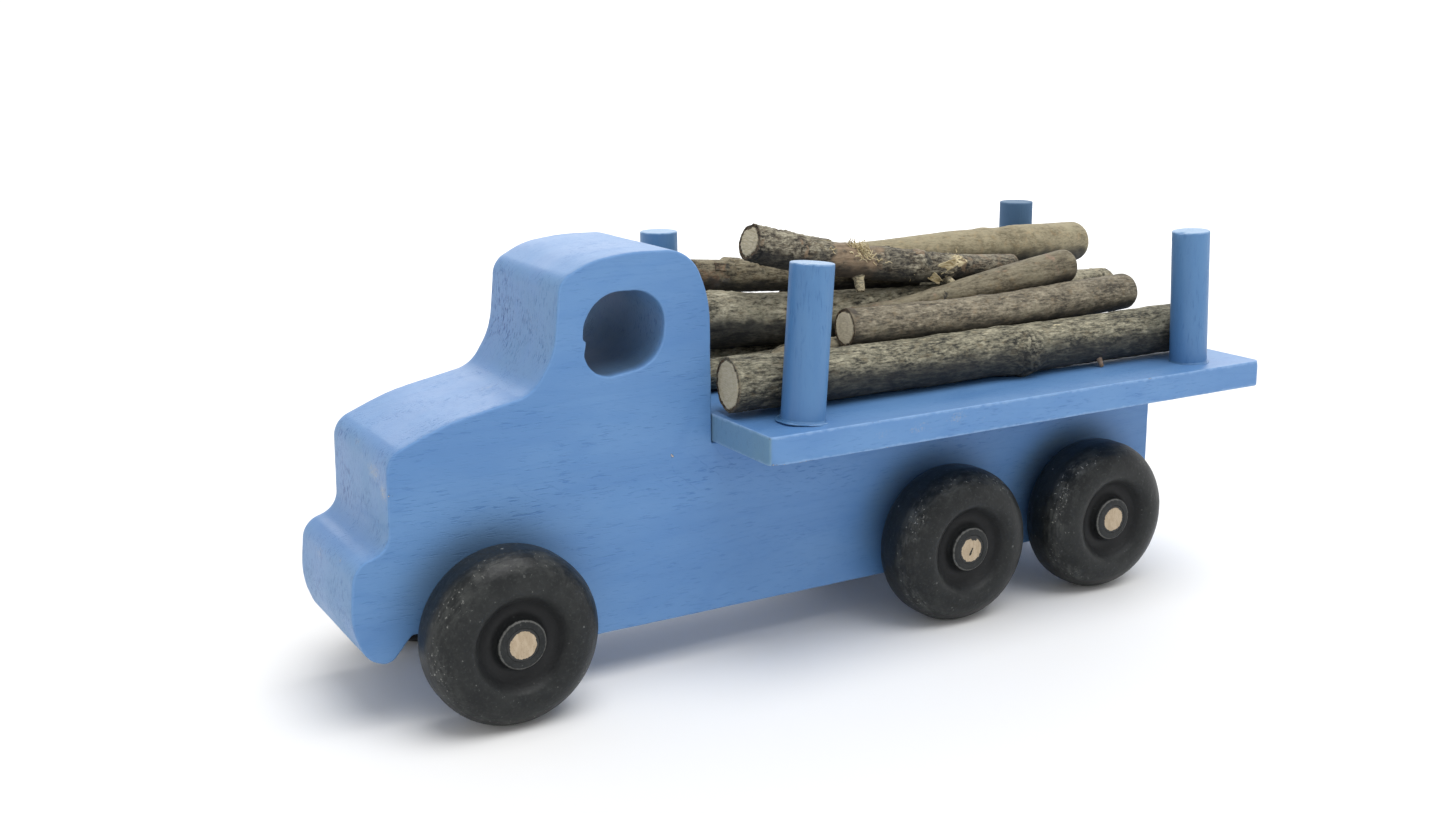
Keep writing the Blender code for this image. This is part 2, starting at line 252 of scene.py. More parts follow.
def even(loop, spacing, closest=0.3, turning=1):
    """The closed loop with its long edges divided and crowded points dropped; turning 1 runs it anticlockwise, -1 clockwise."""
    area = np.sum(loop[:, 0] * np.roll(loop[:, 1], -1) - np.roll(loop[:, 0], -1) * loop[:, 1])
    if area * turning < 0:
        loop = loop[::-1]
    kept = [loop[0]]
    for p in loop[1:]:
        if np.linalg.norm(p - kept[-1]) > closest:
            kept.append(p)
    if np.linalg.norm(kept[0] - kept[-1]) < closest:
        kept.pop()
    made = []
    for a, b in zip(kept, kept[1:] + kept[:1]):
        n = max(1, math.ceil(np.linalg.norm(b - a) / spacing))
        made += [a + (b - a) * k / n for k in range(n)]
    return np.array(made)


def circle(u, v, radius, count):
    a = np.arange(count) * 2 * math.pi / count
    return np.stack([u + radius * np.cos(a), v + radius * np.sin(a)], 1)


def inside(points, loops):
    """Which points lie in the region that the loops bound, by the even-odd rule."""
    hit = np.zeros(len(points), bool)
    for loop in loops:
        a, b = loop, np.roll(loop, -1, axis=0)
        for i in range(0, len(points), 4000):
            p = points[i : i + 4000]
            over = (a[None, :, 1] > p[:, None, 1]) != (b[None, :, 1] > p[:, None, 1])
            with np.errstate(divide="ignore", invalid="ignore"):
                x = a[None, :, 0] + (p[:, None, 1] - a[None, :, 1]) * (b - a)[None, :, 0] / (b - a)[None, :, 1]
            hit[i : i + 4000] ^= (np.sum(over & (p[:, None, 0] < x), axis=1) % 2).astype(bool)
    return hit


def plate(loops, low, high, ease, place, grid, wall, shears=None, seed=0):
    """A flat plate between w = low and w = high, bounded by fine closed loops: the outline
    anticlockwise first, then holes clockwise. Its edges are rounded by about ease
    (one number a loop), which varies a little along the edge. A loop's shear (along u,
    along v, w where it is as given) makes its wall lean. place maps (u, v, w)
    columns to row-frame points. grid is the spacing of points on the two flat faces and
    wall that across the thickness. Returns points, quads, tris and edge (1 on an eased
    edge, fading over 1.5 mm)."""
    steps = 4
    rows_u, rows_v, rows_w, rows_edge = [], [], [], []
    starts, quads = [], []
    total = 0
    supports = []
    for index, loop in enumerate(loops):
        tangent = np.roll(loop, -1, axis=0) - np.roll(loop, 1, axis=0)
        tangent /= np.linalg.norm(tangent, axis=1, keepdims=True)
        inward = np.stack([-tangent[:, 1], tangent[:, 0]], 1)
        span = np.concatenate([loop / 9.0, np.full((len(loop), 1), 3.7 * index)], 1)
        radius = ease[index] * (1 + 0.32 * fractal(span, seed + index, 3))
        middle = max(2, round((high - low - 2 * ease[index]) / wall))
        rings = [(radius + 0.4, np.zeros(len(loop)), 0.25)]
        for k in range(steps + 1):
            a = math.pi / 2 * k / steps
            rings.append((radius * (1 - math.sin(a)), radius * (1 - math.cos(a)), 1.0))
        upper = [(d, high - drop, e) for d, drop, e in rings]
        lower = [(d, low + drop, e) for d, drop, e in rings][::-1]
        between = []
        for k in range(1, middle):
            t = k / middle
            w = (high - radius) * (1 - t) + (low + radius) * t
            near = np.minimum(high - radius - w, w - low - radius)
            between.append((np.zeros(len(loop)), w, np.clip(1 - near / 1.5, 0, 1) * 0.6))
        stack = upper + between + lower
        starts.append((total, len(loop), len(stack)))
        for d, w, e in stack:
            uv = loop + inward * d[:, None]
            if shears and shears[index]:
                uv = uv + np.reshape(w - shears[index][2], (-1, 1)) * np.array(shears[index][:2])[None, :]
            rows_u.append(uv[:, 0])
            rows_v.append(uv[:, 1])
            rows_w.append(np.broadcast_to(w, (len(loop),)))
            rows_edge.append(np.full(len(loop), e) if np.isscalar(e) else e)
        quads.append(strips(len(stack), len(loop)) + total)
        supports.append(loop + inward * (radius + 0.4)[:, None])
        total += len(stack) * len(loop)
    # points on the flat faces: a loose triangular grid that keeps clear of the edges
    low_uv = loops[0].min(0)
    high_uv = loops[0].max(0)
    us, vs = np.meshgrid(np.arange(low_uv[0], high_uv[0], grid), np.arange(low_uv[1], high_uv[1], grid * 0.87))
    us = us + (np.arange(us.shape[0]) % 2)[:, None] * grid / 2
    spots = np.stack([us.ravel(), vs.ravel()], 1)
    spots = spots[inside(spots, supports)]
    walls = np.concatenate(supports)
    keep = np.ones(len(spots), bool)
    for i in range(0, len(spots), 2000):
        gap = np.linalg.norm(spots[i : i + 2000, None] - walls[None], axis=2).min(1)
        keep[i : i + 2000] = gap > grid * 0.45
    spots = spots[keep]
    flats = np.concatenate([walls, spots])
    edges, at = [], 0
    for support in supports:
        n = len(support)
        edges += [(at + k, at + (k + 1) % n) for k in range(n)]
        at += n
    got = delaunay_2d_cdt([Vector(p) for p in flats], edges, [], 0, 1e-7)
    corners = np.array([list(v) for v in got[0]])
    origin = np.array([o[0] if o else -1 for o in got[3]])
    faces = np.array([f for f in got[2] if len(f) == 3])
    faces = faces[inside(corners[faces].mean(1), supports)]
    faces = origin[faces]
    faces = faces[(faces >= 0).all(1)]
    a, b, c = (flats[faces[:, k]] for k in range(3))
    area = (b - a)[:, 0] * (c - a)[:, 1] - (b - a)[:, 1] * (c - a)[:, 0]
    faces[area < 0] = faces[area < 0][:, ::-1]
    tris = []
    for w, at_top in ((high, True), (low, False)):
        number = np.empty(len(flats), np.int64)
        at = 0
        for start, n, count in starts:
            number[at : at + n] = start + (0 if at_top else (count - 1) * n) + np.arange(n)
            at += n
        number[at:] = total + np.arange(len(spots))
        rows_u.append(spots[:, 0])
        rows_v.append(spots[:, 1])
        rows_w.append(np.full(len(spots), w))
        rows_edge.append(np.zeros(len(spots)))
        total += len(spots)
        tris.append(number[faces] if at_top else number[faces][:, ::-1])
    u, v, w, edge = (np.concatenate(r) for r in (rows_u, rows_v, rows_w, rows_edge))
    points = place(u, v, w)
    quads = np.concatenate(quads)
    # the walls run from high to low outside an anticlockwise loop
    return points, quads[:, ::-1], np.concatenate(tris), edge


def dents(points, normals, places):
    """Presses shallow dents: each (x, y, z, size, depth)."""
    for x, y, z, size, depth in places:
        away = np.linalg.norm(points - np.array([x, y, z]), axis=1)
        points = points - normals * (depth * np.exp(-((away / size) ** 2)))[:, None]
    return points


# ------------------------------------------------------------------ material nodes
class Look:
    """A Principled material built node by node, in object coordinates (metres)."""

    def __init__(self, name, **values):
        self.material = bpy.data.materials.new(name)
        self.material.use_nodes = True
        self.tree = self.material.node_tree
        self.tree.nodes.clear()
        output = self.tree.nodes.new("ShaderNodeOutputMaterial")
        self.shader = self.tree.nodes.new("ShaderNodeBsdfPrincipled")
        self.tree.links.new(self.shader.outputs["BSDF"], output.inputs["Surface"])
        for key, value in values.items():
            self.shader.inputs[key.replace("_", " ").title().replace("Ior", "IOR")].default_value = value
        self.place = self.tree.nodes.new("ShaderNodeTexCoord").outputs["Object"]

    def node(self, kind, inputs=None, **properties):
        made = self.tree.nodes.new(kind)
        for key, value in properties.items():
            setattr(made, key, value)
        for key, value in (inputs or {}).items():
            self.put(made.inputs[key], value)
        return made

    def put(self, socket, value):
        if isinstance(value, bpy.types.NodeSocket):
            self.tree.links.new(value, socket)
        else:
            socket.default_value = value

    def stretched(self, scale, offset=(0, 0, 0), turn=(0, 0, 0)):
        """The object coordinates scaled per axis, in repeats a metre."""
        return self.node("ShaderNodeMapping", {"Vector": self.place, "Location": offset, "Rotation": turn, "Scale": scale}).outputs[0]

    def noise(self, vector, scale=1.0, detail=2.0, roughness=0.5, distortion=0.0):
        return self.node(
            "ShaderNodeTexNoise",
            {"Vector": vector, "Scale": scale, "Detail": detail, "Roughness": roughness, "Distortion": distortion},
        ).outputs["Fac"]

    def cells(self, vector, scale=1.0, feature="F1", output="Distance", randomness=1.0):
        return self.node("ShaderNodeTexVoronoi", {"Vector": vector, "Scale": scale, "Randomness": randomness}, feature=feature).outputs[output]

    def math(self, operation, a, b=0.0, c=0.0, clamp=False):
        made = self.node("ShaderNodeMath", operation=operation, use_clamp=clamp)
        for k, value in enumerate((a, b, c)):
            if k < len(made.inputs):
                self.put(made.inputs[k], value)
        return made.outputs[0]

    def span(self, value, low, high, to_low=0.0, to_high=1.0):
        """value from low..high to to_low..to_high, eased and held at the ends."""
        made = self.node("ShaderNodeMapRange", {"Value": value, "From Min": low, "From Max": high, "To Min": to_low, "To Max": to_high}, interpolation_type="SMOOTHSTEP")
        return made.outputs[0]

    def mix(self, factor, a, b, blend="MIX"):
        made = self.node("ShaderNodeMix", data_type="RGBA", blend_type=blend, clamp_factor=True)
        self.put(made.inputs[0], factor)
        self.put(made.inputs[6], a)
        self.put(made.inputs[7], b)
        return made.outputs[2]

    def ramp(self, factor, stops):
        made = self.node("ShaderNodeValToRGB", {"Fac": factor})
        band = made.color_ramp
        while len(band.elements) > 1:
            band.elements.remove(band.elements[-1])
        band.elements[0].position, band.elements[0].color = stops[0][0], (*stops[0][1], 1)
        for at, colour in stops[1:]:
            band.elements.new(at).color = (*colour, 1)
        return made.outputs["Color"]

    def value(self, name):
        return self.node("ShaderNodeAttribute", attribute_name=name).outputs["Fac"]

    def vector(self, name):
        return self.node("ShaderNodeAttribute", attribute_name=name).outputs["Vector"]

    def bump(self, height, distance, strength=1.0, under=None):
        inputs = {"Height": height, "Distance": distance, "Strength": strength}
        if under is not None:
            inputs["Normal"] = under
        return self.node("ShaderNodeBump", inputs).outputs[0]

    def finish(self, colour, roughness, normal=None):
        self.put(self.shader.inputs["Base Color"], colour)
        self.put(self.shader.inputs["Roughness"], roughness)
        if normal is not None:
            self.put(self.shader.inputs["Normal"], normal)
        return self.material


def rgb(*c):
    return (*c, 1.0)


PAINT = (0.107, 0.243, 0.488)


def paint(name, along="y", worn=1.0, seed=0.0, tone=(1.0, 1.0, 1.0), end_tone=(0.98, 0.96, 0.82), end_mix=(0.10, 0.45)):
    """Thin matte blue paint on wood whose grain runs along one axis. Attributes:
    end (1 where end grain shows), edge (1 on eased edges), wear (placed rubbed patches),
    bare (placed chips down to the wood), streak (patches of open pores), shade (painted shade)."""
    look = Look(name, specular_ior_level=0.38)
    shift = (seed, seed * 1.7, -seed)

    def sized(across, lengthways, deep):
        """Repeats a metre for features of these sizes in mm: across x, along the grain, in the third axis."""
        x, g, t = 1000 / across, 1000 / lengthways, 1000 / deep
        return (x, g, t) if along == "y" else (x, t, g)

    end, edge, wear, bare, streak, shade = (look.value(k) for k in ("end", "edge", "wear", "bare", "streak", "shade"))
    cloud = look.noise(look.stretched(sized(22, 60, 22), shift), 1.0, 3.0, 0.55)
    blotch = look.noise(look.stretched(sized(6, 16, 6), shift), 1.0, 3.0, 0.6)
    # growth rings lie nearly flat to the wide faces: contours of a stretched field
    warp = look.noise(look.stretched(sized(55, 190, 26), shift), 1.0, 2.0, 0.45, 0.6)
    rings = look.math("PINGPONG", look.math("MULTIPLY", warp, 13.0), 0.5)
    rings = look.span(rings, 0.30, 0.5)
    # open pores: short dashes along the grain on long grain, taller flecks on end grain
    dash = look.noise(look.stretched(sized(0.7, 4.2, 0.55), shift), 1.0, 2.0, 0.6)
    fine = look.noise(look.stretched(sized(0.35, 2.2, 0.3), shift), 1.0, 1.0, 0.5)
    fleck = look.noise(look.stretched(sized(0.55, 1.0, 2.3) if along == "y" else sized(0.6, 1.0, 0.6), shift), 1.0, 2.0, 0.65)
    zones = look.noise(look.stretched(sized(14, 34, 9), shift), 1.0, 2.0, 0.55)
    patches = look.span(zones, 0.42, 0.62)
    dash_mask = look.math("MULTIPLY", look.span(dash, 0.54, 0.70), look.math("ADD", 0.35, look.math("MULTIPLY", patches, 0.65)))
    fleck_mask = look.math("MULTIPLY", look.span(fleck, 0.53, 0.68), look.math("ADD", 0.40, look.math("MULTIPLY", patches, 0.6)))
    deep_mask = look.math("MULTIPLY", look.span(fleck, 0.52, 0.63), look.math("ADD", 0.25, look.math("MULTIPLY", patches, 0.75)))
    long_grain = look.math("SUBTRACT", 1.0, end)

    base = tuple(a * b for a, b in zip(PAINT, tone))
    colour = look.mix(look.span(cloud, 0.30, 0.70), rgb(base[0] * 0.90, base[1] * 0.93, base[2] * 0.96), rgb(base[0] * 1.13, base[1] * 1.07, base[2] * 1.03))
    colour = look.mix(look.math("MULTIPLY", look.span(blotch, 0.45, 0.70), 0.30), colour, rgb(base[0] * 0.80, base[1] * 0.90, base[2] * 0.97))
    colour = look.mix(look.math("MULTIPLY", look.math("MULTIPLY", rings, long_grain), 0.17), colour, rgb(base[0] * 0.62, base[1] * 0.74, base[2] * 0.86))
    colour = look.mix(look.math("MULTIPLY", look.math("MULTIPLY", dash_mask, long_grain), look.math("ADD", 0.34, look.math("MULTIPLY", streak, 0.4))), colour, rgb(base[0] * 0.42, base[1] * 0.58, base[2] * 0.74))
    colour = look.mix(look.math("MULTIPLY", look.math("MULTIPLY", fleck_mask, end), 0.80), colour, rgb(base[0] * 0.42, base[1] * 0.60, base[2] * 0.80))
    colour = look.mix(look.math("MULTIPLY", look.math("MULTIPLY", deep_mask, look.math("MULTIPLY", end, look.math("ADD", streak, 0.35))), 0.95), colour, rgb(base[0] * 0.10, base[1] * 0.25, base[2] * 0.50))
    # the faces cut across the grain drink more paint and look a little duller and greener
    colour = look.mix(look.math("MULTIPLY", end, look.span(cloud, 0.35, 0.65, *end_mix)), colour, rgb(base[0] * end_tone[0], base[1] * end_tone[1], base[2] * end_tone[2]))
    # slanting lines where the saw crossed the growth rings, broken into dashes
    if along == "y":
        parts = look.node("ShaderNodeSeparateXYZ", {0: look.place}).outputs
        field = look.math("ADD", look.math("MULTIPLY", parts["Z"], 1000.0), look.math("MULTIPLY", parts["Y"], 790.0))
        field = look.math("ADD", field, look.math("MULTIPLY", look.noise(look.stretched(sized(30, 40, 24), shift), 1.0, 3.0, 0.5), 26.0))
        lines = look.span(look.math("PINGPONG", field, 3.6), 3.15, 3.6)
        broken = look.noise(look.stretched(sized(1.2, 3.6, 1.0), shift), 1.0, 3.0, 0.65)
        lines = look.math("MULTIPLY", look.math("MULTIPLY", lines, look.span(broken, 0.42, 0.60)), look.math("MULTIPLY", long_grain, look.span(streak, 0.25, 0.9)))
        colour = look.mix(look.math("MULTIPLY", lines, 0.42), colour, rgb(base[0] * 0.40, base[1] * 0.56, base[2] * 0.72))
    # rubbed paint: chalky along the edges and in placed patches, in broken strokes; the pale blue line along the edges
    # is rubbed paint and also a painted highlight
    rub = look.noise(look.stretched(sized(1.6, 6.0, 1.6), shift), 1.0, 3.0, 0.7)
    grit = look.noise(look.stretched((1500, 1500, 1500), shift), 1.0, 2.0, 0.6)
    soft = look.noise(look.stretched((420, 420, 420), shift), 1.0, 2.0, 0.6)
    # the pale blue edge line: rubbed paint and a painted highlight, scaled by worn
    edge_rub_and_highlight = look.math("MULTIPLY", look.span(look.math("ADD", look.math("MULTIPLY", edge, 0.55), look.math("MULTIPLY", soft, 0.6)), 0.62, 0.95), 0.42 * worn)
    colour = look.mix(edge_rub_and_highlight, colour, rgb(0.42, 0.58, 0.80))
    chalk = look.span(look.math("ADD", look.math("MULTIPLY", wear, 0.55), look.math("ADD", look.math("MULTIPLY", grit, 0.55), look.math("MULTIPLY", rub, 0.35))), 0.66, 1.02)
    chalk = look.math("MULTIPLY", chalk, look.math("GREATER_THAN", wear, 0.01))
    colour = look.mix(look.math("MULTIPLY", chalk, 0.52), colour, rgb(0.46, 0.45, 0.41))
    pepper = look.math("MULTIPLY", look.span(grit, 0.60, 0.68), look.span(wear, 0.25, 0.8))
    colour = look.mix(look.math("MULTIPLY", pepper, 0.42), colour, rgb(0.075, 0.095, 0.10))
    # chips show the wood, with a thin dark rim of dirt
    chip = look.span(look.math("ADD", bare, look.math("MULTIPLY", look.math("SUBTRACT", grit, 0.5), 0.9)), 0.52, 0.62)
    rim = look.math("MULTIPLY", look.span(look.math("ADD", bare, look.math("MULTIPLY", look.math("SUBTRACT", grit, 0.5), 0.9)), 0.38, 0.52), look.math("SUBTRACT", 1.0, chip))
    colour = look.mix(look.math("MULTIPLY", rim, 0.45), colour, rgb(0.05, 0.08, 0.13))
    colour = look.mix(chip, colour, look.mix(grit, rgb(0.42, 0.33, 0.21), rgb(0.60, 0.50, 0.36)))
    # a few specks of dirt
    spot = look.cells(look.stretched((40, 40, 40), shift), 1.0)
    speck = look.math("MULTIPLY", look.span(spot, 0.017, 0.008), 0.7)
    colour = look.mix(speck, colour, rgb(0.045, 0.05, 0.07))
    # painted shade: where the shade attribute is set, the paint is mixed toward a dark blue
    colour = look.mix(shade, colour, look.mix(blotch, rgb(0.034, 0.076, 0.138), rgb(0.066, 0.108, 0.150)))

    rough = look.math("ADD", look.span(cloud, 0.3, 0.7, 0.36, 0.46), look.math("MULTIPLY", look.math("ADD", dash_mask, fleck_mask), 0.10))
    rough = look.math("ADD", rough, look.math("MULTIPLY", chalk, 0.12))
    rough = look.math("ADD", rough, look.math("MULTIPLY", shade, 0.55), clamp=True)
    height = look.math("SUBTRACT", look.math("MULTIPLY", fine, 0.35), look.math("ADD", look.math("MULTIPLY", look.math("MULTIPLY", dash_mask, long_grain), 0.8), look.math("MULTIPLY", look.math("MULTIPLY", fleck_mask, end), 1.3)))
    height = look.math("ADD", height, look.math("MULTIPLY", blotch, 0.7))
    height = look.math("SUBTRACT", height, look.math("MULTIPLY", chip, 1.2))
    return look.finish(colour, rough, look.bump(height, 0.00010, 0.75))


def black_paint():
    """Black paint on a turned wooden wheel: satin, dusty on the shoulder, scuffed pale in small flecks that gather on
    the shoulder as scuffs and as a painted glint; the recess is painted a little lighter, as painted light.
    """
    look = Look("black_wheel_paint", specular_ior_level=0.30)
    shoulder, worn, hollow = look.value("shoulder"), look.value("worn"), look.value("hollow")
    cloud = look.noise(look.stretched((90, 90, 90)), 1.0, 3.0, 0.6)
    grit = look.noise(look.stretched((1100, 1100, 1100)), 1.0, 3.0, 0.65)
    grain = look.noise(look.stretched((500, 500, 900)), 1.0, 2.0, 0.6)
    drag = look.noise(look.stretched((900, 300, 300)), 1.0, 3.0, 0.65)
    colour = look.mix(look.span(cloud, 0.3, 0.7), rgb(0.0054, 0.0068, 0.0076), rgb(0.0108, 0.0126, 0.0130))
    colour = look.mix(look.math("MULTIPLY", look.span(grit, 0.50, 0.72), 0.50), colour, rgb(0.033, 0.037, 0.036))
    dust = look.math("MULTIPLY", look.span(look.math("ADD", look.math("MULTIPLY", drag, 0.7), look.math("MULTIPLY", cloud, 0.5)), 0.50, 0.78), look.math("ADD", 0.10, look.math("MULTIPLY", shoulder, 0.75)))
    colour = look.mix(look.math("MULTIPLY", dust, 0.52), colour, rgb(0.125, 0.130, 0.122))
    # pale flecks, more of them on the shoulder: scuffs, and a painted glint
    flecks = look.math("MULTIPLY", look.span(look.math("ADD", grit, look.math("MULTIPLY", shoulder, 0.10)), 0.70, 0.75), look.span(cloud, 0.38, 0.55))
    colour = look.mix(look.math("MULTIPLY", flecks, 0.75), colour, rgb(0.30, 0.30, 0.28))
    dot = look.span(look.cells(look.stretched((150, 150, 150)), 1.0), 0.075, 0.045)
    colour = look.mix(look.math("MULTIPLY", dot, look.math("MULTIPLY", look.span(cloud, 0.50, 0.60), 0.7)), colour, rgb(0.26, 0.27, 0.26))
    rubbed = look.span(look.math("ADD", look.math("MULTIPLY", worn, 0.7), look.math("MULTIPLY", grit, 0.75)), 0.78, 1.05)
    colour = look.mix(look.math("MULTIPLY", rubbed, 0.60), colour, rgb(0.16, 0.16, 0.15))
    # painted light: the recess and the groove round the boss take a dark grey a little lighter than the paint, lifting
    # their shade
    colour = look.mix(look.math("MULTIPLY", hollow, 0.75), colour, rgb(0.0160, 0.0165, 0.0180))
    rough = look.math("ADD", look.span(cloud, 0.3, 0.7, 0.36, 0.50), look.math("MULTIPLY", look.math("ADD", dust, hollow), 0.18), clamp=True)
    height = look.math("ADD", look.math("MULTIPLY", grain, 0.7), look.math("MULTIPLY", grit, 0.5))
    return look.finish(colour, rough, look.bump(height, 0.00013, 0.8))


def bare_wood(name, pale, mid, dark):
    """Sawn dowel ends: fine pores and faint growth rings; paint laps over the rim (attribute lap), cracks and spots are placed (attribute crack)."""
    look = Look(name, specular_ior_level=0.35)
    lap, crack = look.value("lap"), look.value("crack")
    grit = look.noise(look.stretched((1700, 1700, 1700)), 1.0, 3.0, 0.65)
    pores = look.noise(look.stretched((300, 2600, 2600)), 1.0, 2.0, 0.6)
    bands = look.noise(look.stretched((100, 900, 260)), 1.0, 2.0, 0.5, 0.4)
    colour = look.mix(look.span(bands, 0.35, 0.65), rgb(*mid), rgb(*pale))
    colour = look.mix(look.math("MULTIPLY", look.span(pores, 0.56, 0.70), 0.45), colour, rgb(*dark))
    colour = look.mix(look.math("MULTIPLY", look.span(grit, 0.60, 0.75), 0.22), colour, rgb(*dark))
    ragged = look.math("ADD", lap, look.math("MULTIPLY", look.math("SUBTRACT", grit, 0.5), 0.55))
    covered = look.span(ragged, 0.46, 0.54)
    black = look.mix(grit, rgb(0.012, 0.013, 0.014), rgb(0.034, 0.035, 0.034))
    colour = look.mix(covered, colour, black)
    split = look.span(look.math("ADD", crack, look.math("MULTIPLY", look.math("SUBTRACT", grit, 0.5), 0.5)), 0.45, 0.55)
    colour = look.mix(split, colour, rgb(0.012, 0.011, 0.010))
    rough = look.math("SUBTRACT", 0.74, look.math("MULTIPLY", covered, 0.20))
    height = look.math("SUBTRACT", look.math("ADD", grit, look.math("MULTIPLY", covered, 0.6)), look.math("MULTIPLY", pores, 0.6))
    return look.finish(colour, rough, look.bump(height, 0.00012, 0.7))


def bark(name, dark, mid, pale, wood=((0.30, 0.26, 0.18), (0.44, 0.40, 0.31)), red=(0.160, 0.104, 0.066), contrast=1.0, fine=1.0):
    """Bark and sawn ends of one branch. Attributes: tone (0 in furrows to 1 on ridges),
    cut (1 on the sawn face), rim (1 on the broken bark edge), bast (peeled pale fibre),
    ruddy (smooth reddish inner bark), lichen (pale crust), soot (dark patches,
    and painted shade on undersides), and cap (the place on the sawn face, in mm)."""
    look = Look(name, specular_ior_level=0.28)
    tone, cut, rim = look.value("tone"), look.value("cut"), look.value("rim")
    bast, ruddy, lichen, soot = (look.value(k) for k in ("bast", "ruddy", "lichen", "soot"))
    grit = look.noise(look.stretched((1650, 620, 1650)), 1.0, 3.0, 0.7)
    fibre = look.noise(look.stretched((1050, 170, 1050)), 1.0, 4.0, 0.72, 0.5)
    patch = look.noise(look.stretched((160, 70, 160)), 1.0, 3.0, 0.6)
    blot = look.noise(look.stretched((420, 300, 420)), 1.0, 3.0, 0.65)
    level = look.math("ADD", look.math("MULTIPLY", tone, 0.62), look.math("ADD", look.math("MULTIPLY", look.math("SUBTRACT", fibre, 0.5), 0.95 * contrast), look.math("MULTIPLY", look.math("SUBTRACT", grit, 0.5), 0.95 * contrast)))
    level = look.math("ADD", level, look.math("MULTIPLY", look.math("SUBTRACT", patch, 0.5), 0.50 * contrast))
    colour = look.ramp(level, [
        (0.02, tuple(c * 0.45 for c in dark)), (0.20, dark), (0.40, mid),
        (0.58, tuple(0.55 * a + 0.45 * b for a, b in zip(mid, pale))), (0.78, pale),
    ])
    # greenish grey and brownish drifts
    colour = look.mix(look.math("MULTIPLY", look.span(blot, 0.52, 0.70), 0.30), colour, rgb(mid[0] * 1.25, mid[1] * 1.02, mid[2] * 0.78))
    colour = look.mix(look.math("MULTIPLY", look.span(patch, 0.55, 0.72), 0.22), colour, rgb(mid[0] * 0.80, mid[1] * 0.90, mid[2] * 0.88))
    smooth_red = look.mix(look.span(look.math("ADD", look.math("MULTIPLY", fibre, 0.6), look.math("MULTIPLY", blot, 0.4)), 0.36, 0.62), rgb(red[0] * 0.62, red[1] * 0.62, red[2] * 0.62), rgb(red[0] * 1.20, red[1] * 1.25, red[2] * 1.30))
    colour = look.mix(look.math("MULTIPLY", look.span(look.math("ADD", ruddy, look.math("MULTIPLY", look.math("SUBTRACT", blot, 0.5), 1.3)), 0.32, 0.76), 0.80), colour, smooth_red)
    crust = look.mix(grit, rgb(0.170, 0.158, 0.108), rgb(0.47, 0.44, 0.33))
    colour = look.mix(look.math("MULTIPLY", look.span(look.math("ADD", lichen, look.math("MULTIPLY", look.math("SUBTRACT", grit, 0.5), 1.1)), 0.52, 0.72), 0.8), colour, crust)
    # near black where the dark-patch mask is set: real dark patches, and on the undersides a painted shade
    colour = look.mix(look.math("MULTIPLY", look.span(look.math("ADD", soot, look.math("MULTIPLY", look.math("SUBTRACT", look.math("MULTIPLY", look.math("ADD", grit, blot), 0.5), 0.5), 1.0)), 0.08, 0.95), 0.84), colour, rgb(0.020, 0.022, 0.024))
    pale_fibre = look.mix(look.span(fibre, 0.35, 0.65), rgb(0.34, 0.26, 0.13), rgb(0.66, 0.58, 0.38))
    colour = look.mix(look.span(look.math("ADD", bast, look.math("MULTIPLY", look.math("SUBTRACT", fibre, 0.5), 1.1)), 0.48, 0.66), colour, pale_fibre)
    # broken edge of the bark, brown inside
    torn = look.mix(look.span(grit, 0.40, 0.60), rgb(0.022, 0.017, 0.013), rgb(0.16, 0.105, 0.062))
    torn = look.mix(look.span(blot, 0.48, 0.62), torn, rgb(mid[0] * 0.8, mid[1] * 0.75, mid[2] * 0.7))
    colour = look.mix(look.math("MULTIPLY", rim, 0.88), colour, torn)
    # the sawn face: growth rings about an off-centre pith, rays, saw marks
    cap = look.vector("cap")
    off = look.node("ShaderNodeVectorMath", {0: cap, 1: (0.7, -0.5, 0.0)}, operation="ADD").outputs[0]
    wobble = look.noise(cap, 0.55, 2.0, 0.5)
    away = look.node("ShaderNodeVectorMath", {0: off}, operation="LENGTH").outputs["Value"]
    away = look.math("ADD", away, look.math("MULTIPLY", wobble, 1.6))
    ring = look.span(look.math("PINGPONG", away, 0.62), 0.38, 0.62)
    saw = look.noise(look.node("ShaderNodeMapping", {"Vector": cap, "Rotation": (0, 0, 0.5), "Scale": (0.35, 3.2, 1.0)}).outputs[0], 1.0, 3.0, 0.65)
    dust = look.noise(cap, 3.4, 3.0, 0.7)
    face = look.mix(look.span(saw, 0.32, 0.68), rgb(*wood[0]), rgb(*wood[1]))
    face = look.mix(look.math("MULTIPLY", ring, 0.30), face, rgb(wood[0][0] * 0.62, wood[0][1] * 0.58, wood[0][2] * 0.50))
    face = look.mix(look.math("MULTIPLY", look.span(dust, 0.58, 0.72), 0.35), face, rgb(wood[0][0] * 0.45, wood[0][1] * 0.42, wood[0][2] * 0.36))
    pith = look.span(look.math("SUBTRACT", away, look.math("MULTIPLY", wobble, 1.6)), 0.75, 0.35)
    face = look.mix(look.math("MULTIPLY", pith, 0.55), face, rgb(0.11, 0.075, 0.045))
    colour = look.mix(cut, colour, face)
    rough = look.math("ADD", 0.80, look.math("MULTIPLY", look.math("SUBTRACT", grit, 0.5), 0.25))
    rough = look.math("SUBTRACT", rough, look.math("MULTIPLY", ruddy, 0.16), clamp=True)
    height = look.math("ADD", look.math("MULTIPLY", grit, 0.55 * fine), look.math("MULTIPLY", fibre, 0.85 * fine))
    height = look.math("MULTIPLY", height, look.math("SUBTRACT", 1.0, look.math("MULTIPLY", look.math("MAXIMUM", cut, ruddy), 0.72)))
    height = look.math("ADD", height, look.math("MULTIPLY", look.math("MULTIPLY", saw, cut), 0.35))
    return look.finish(colour, rough, look.bump(height, 0.00042, 0.85))


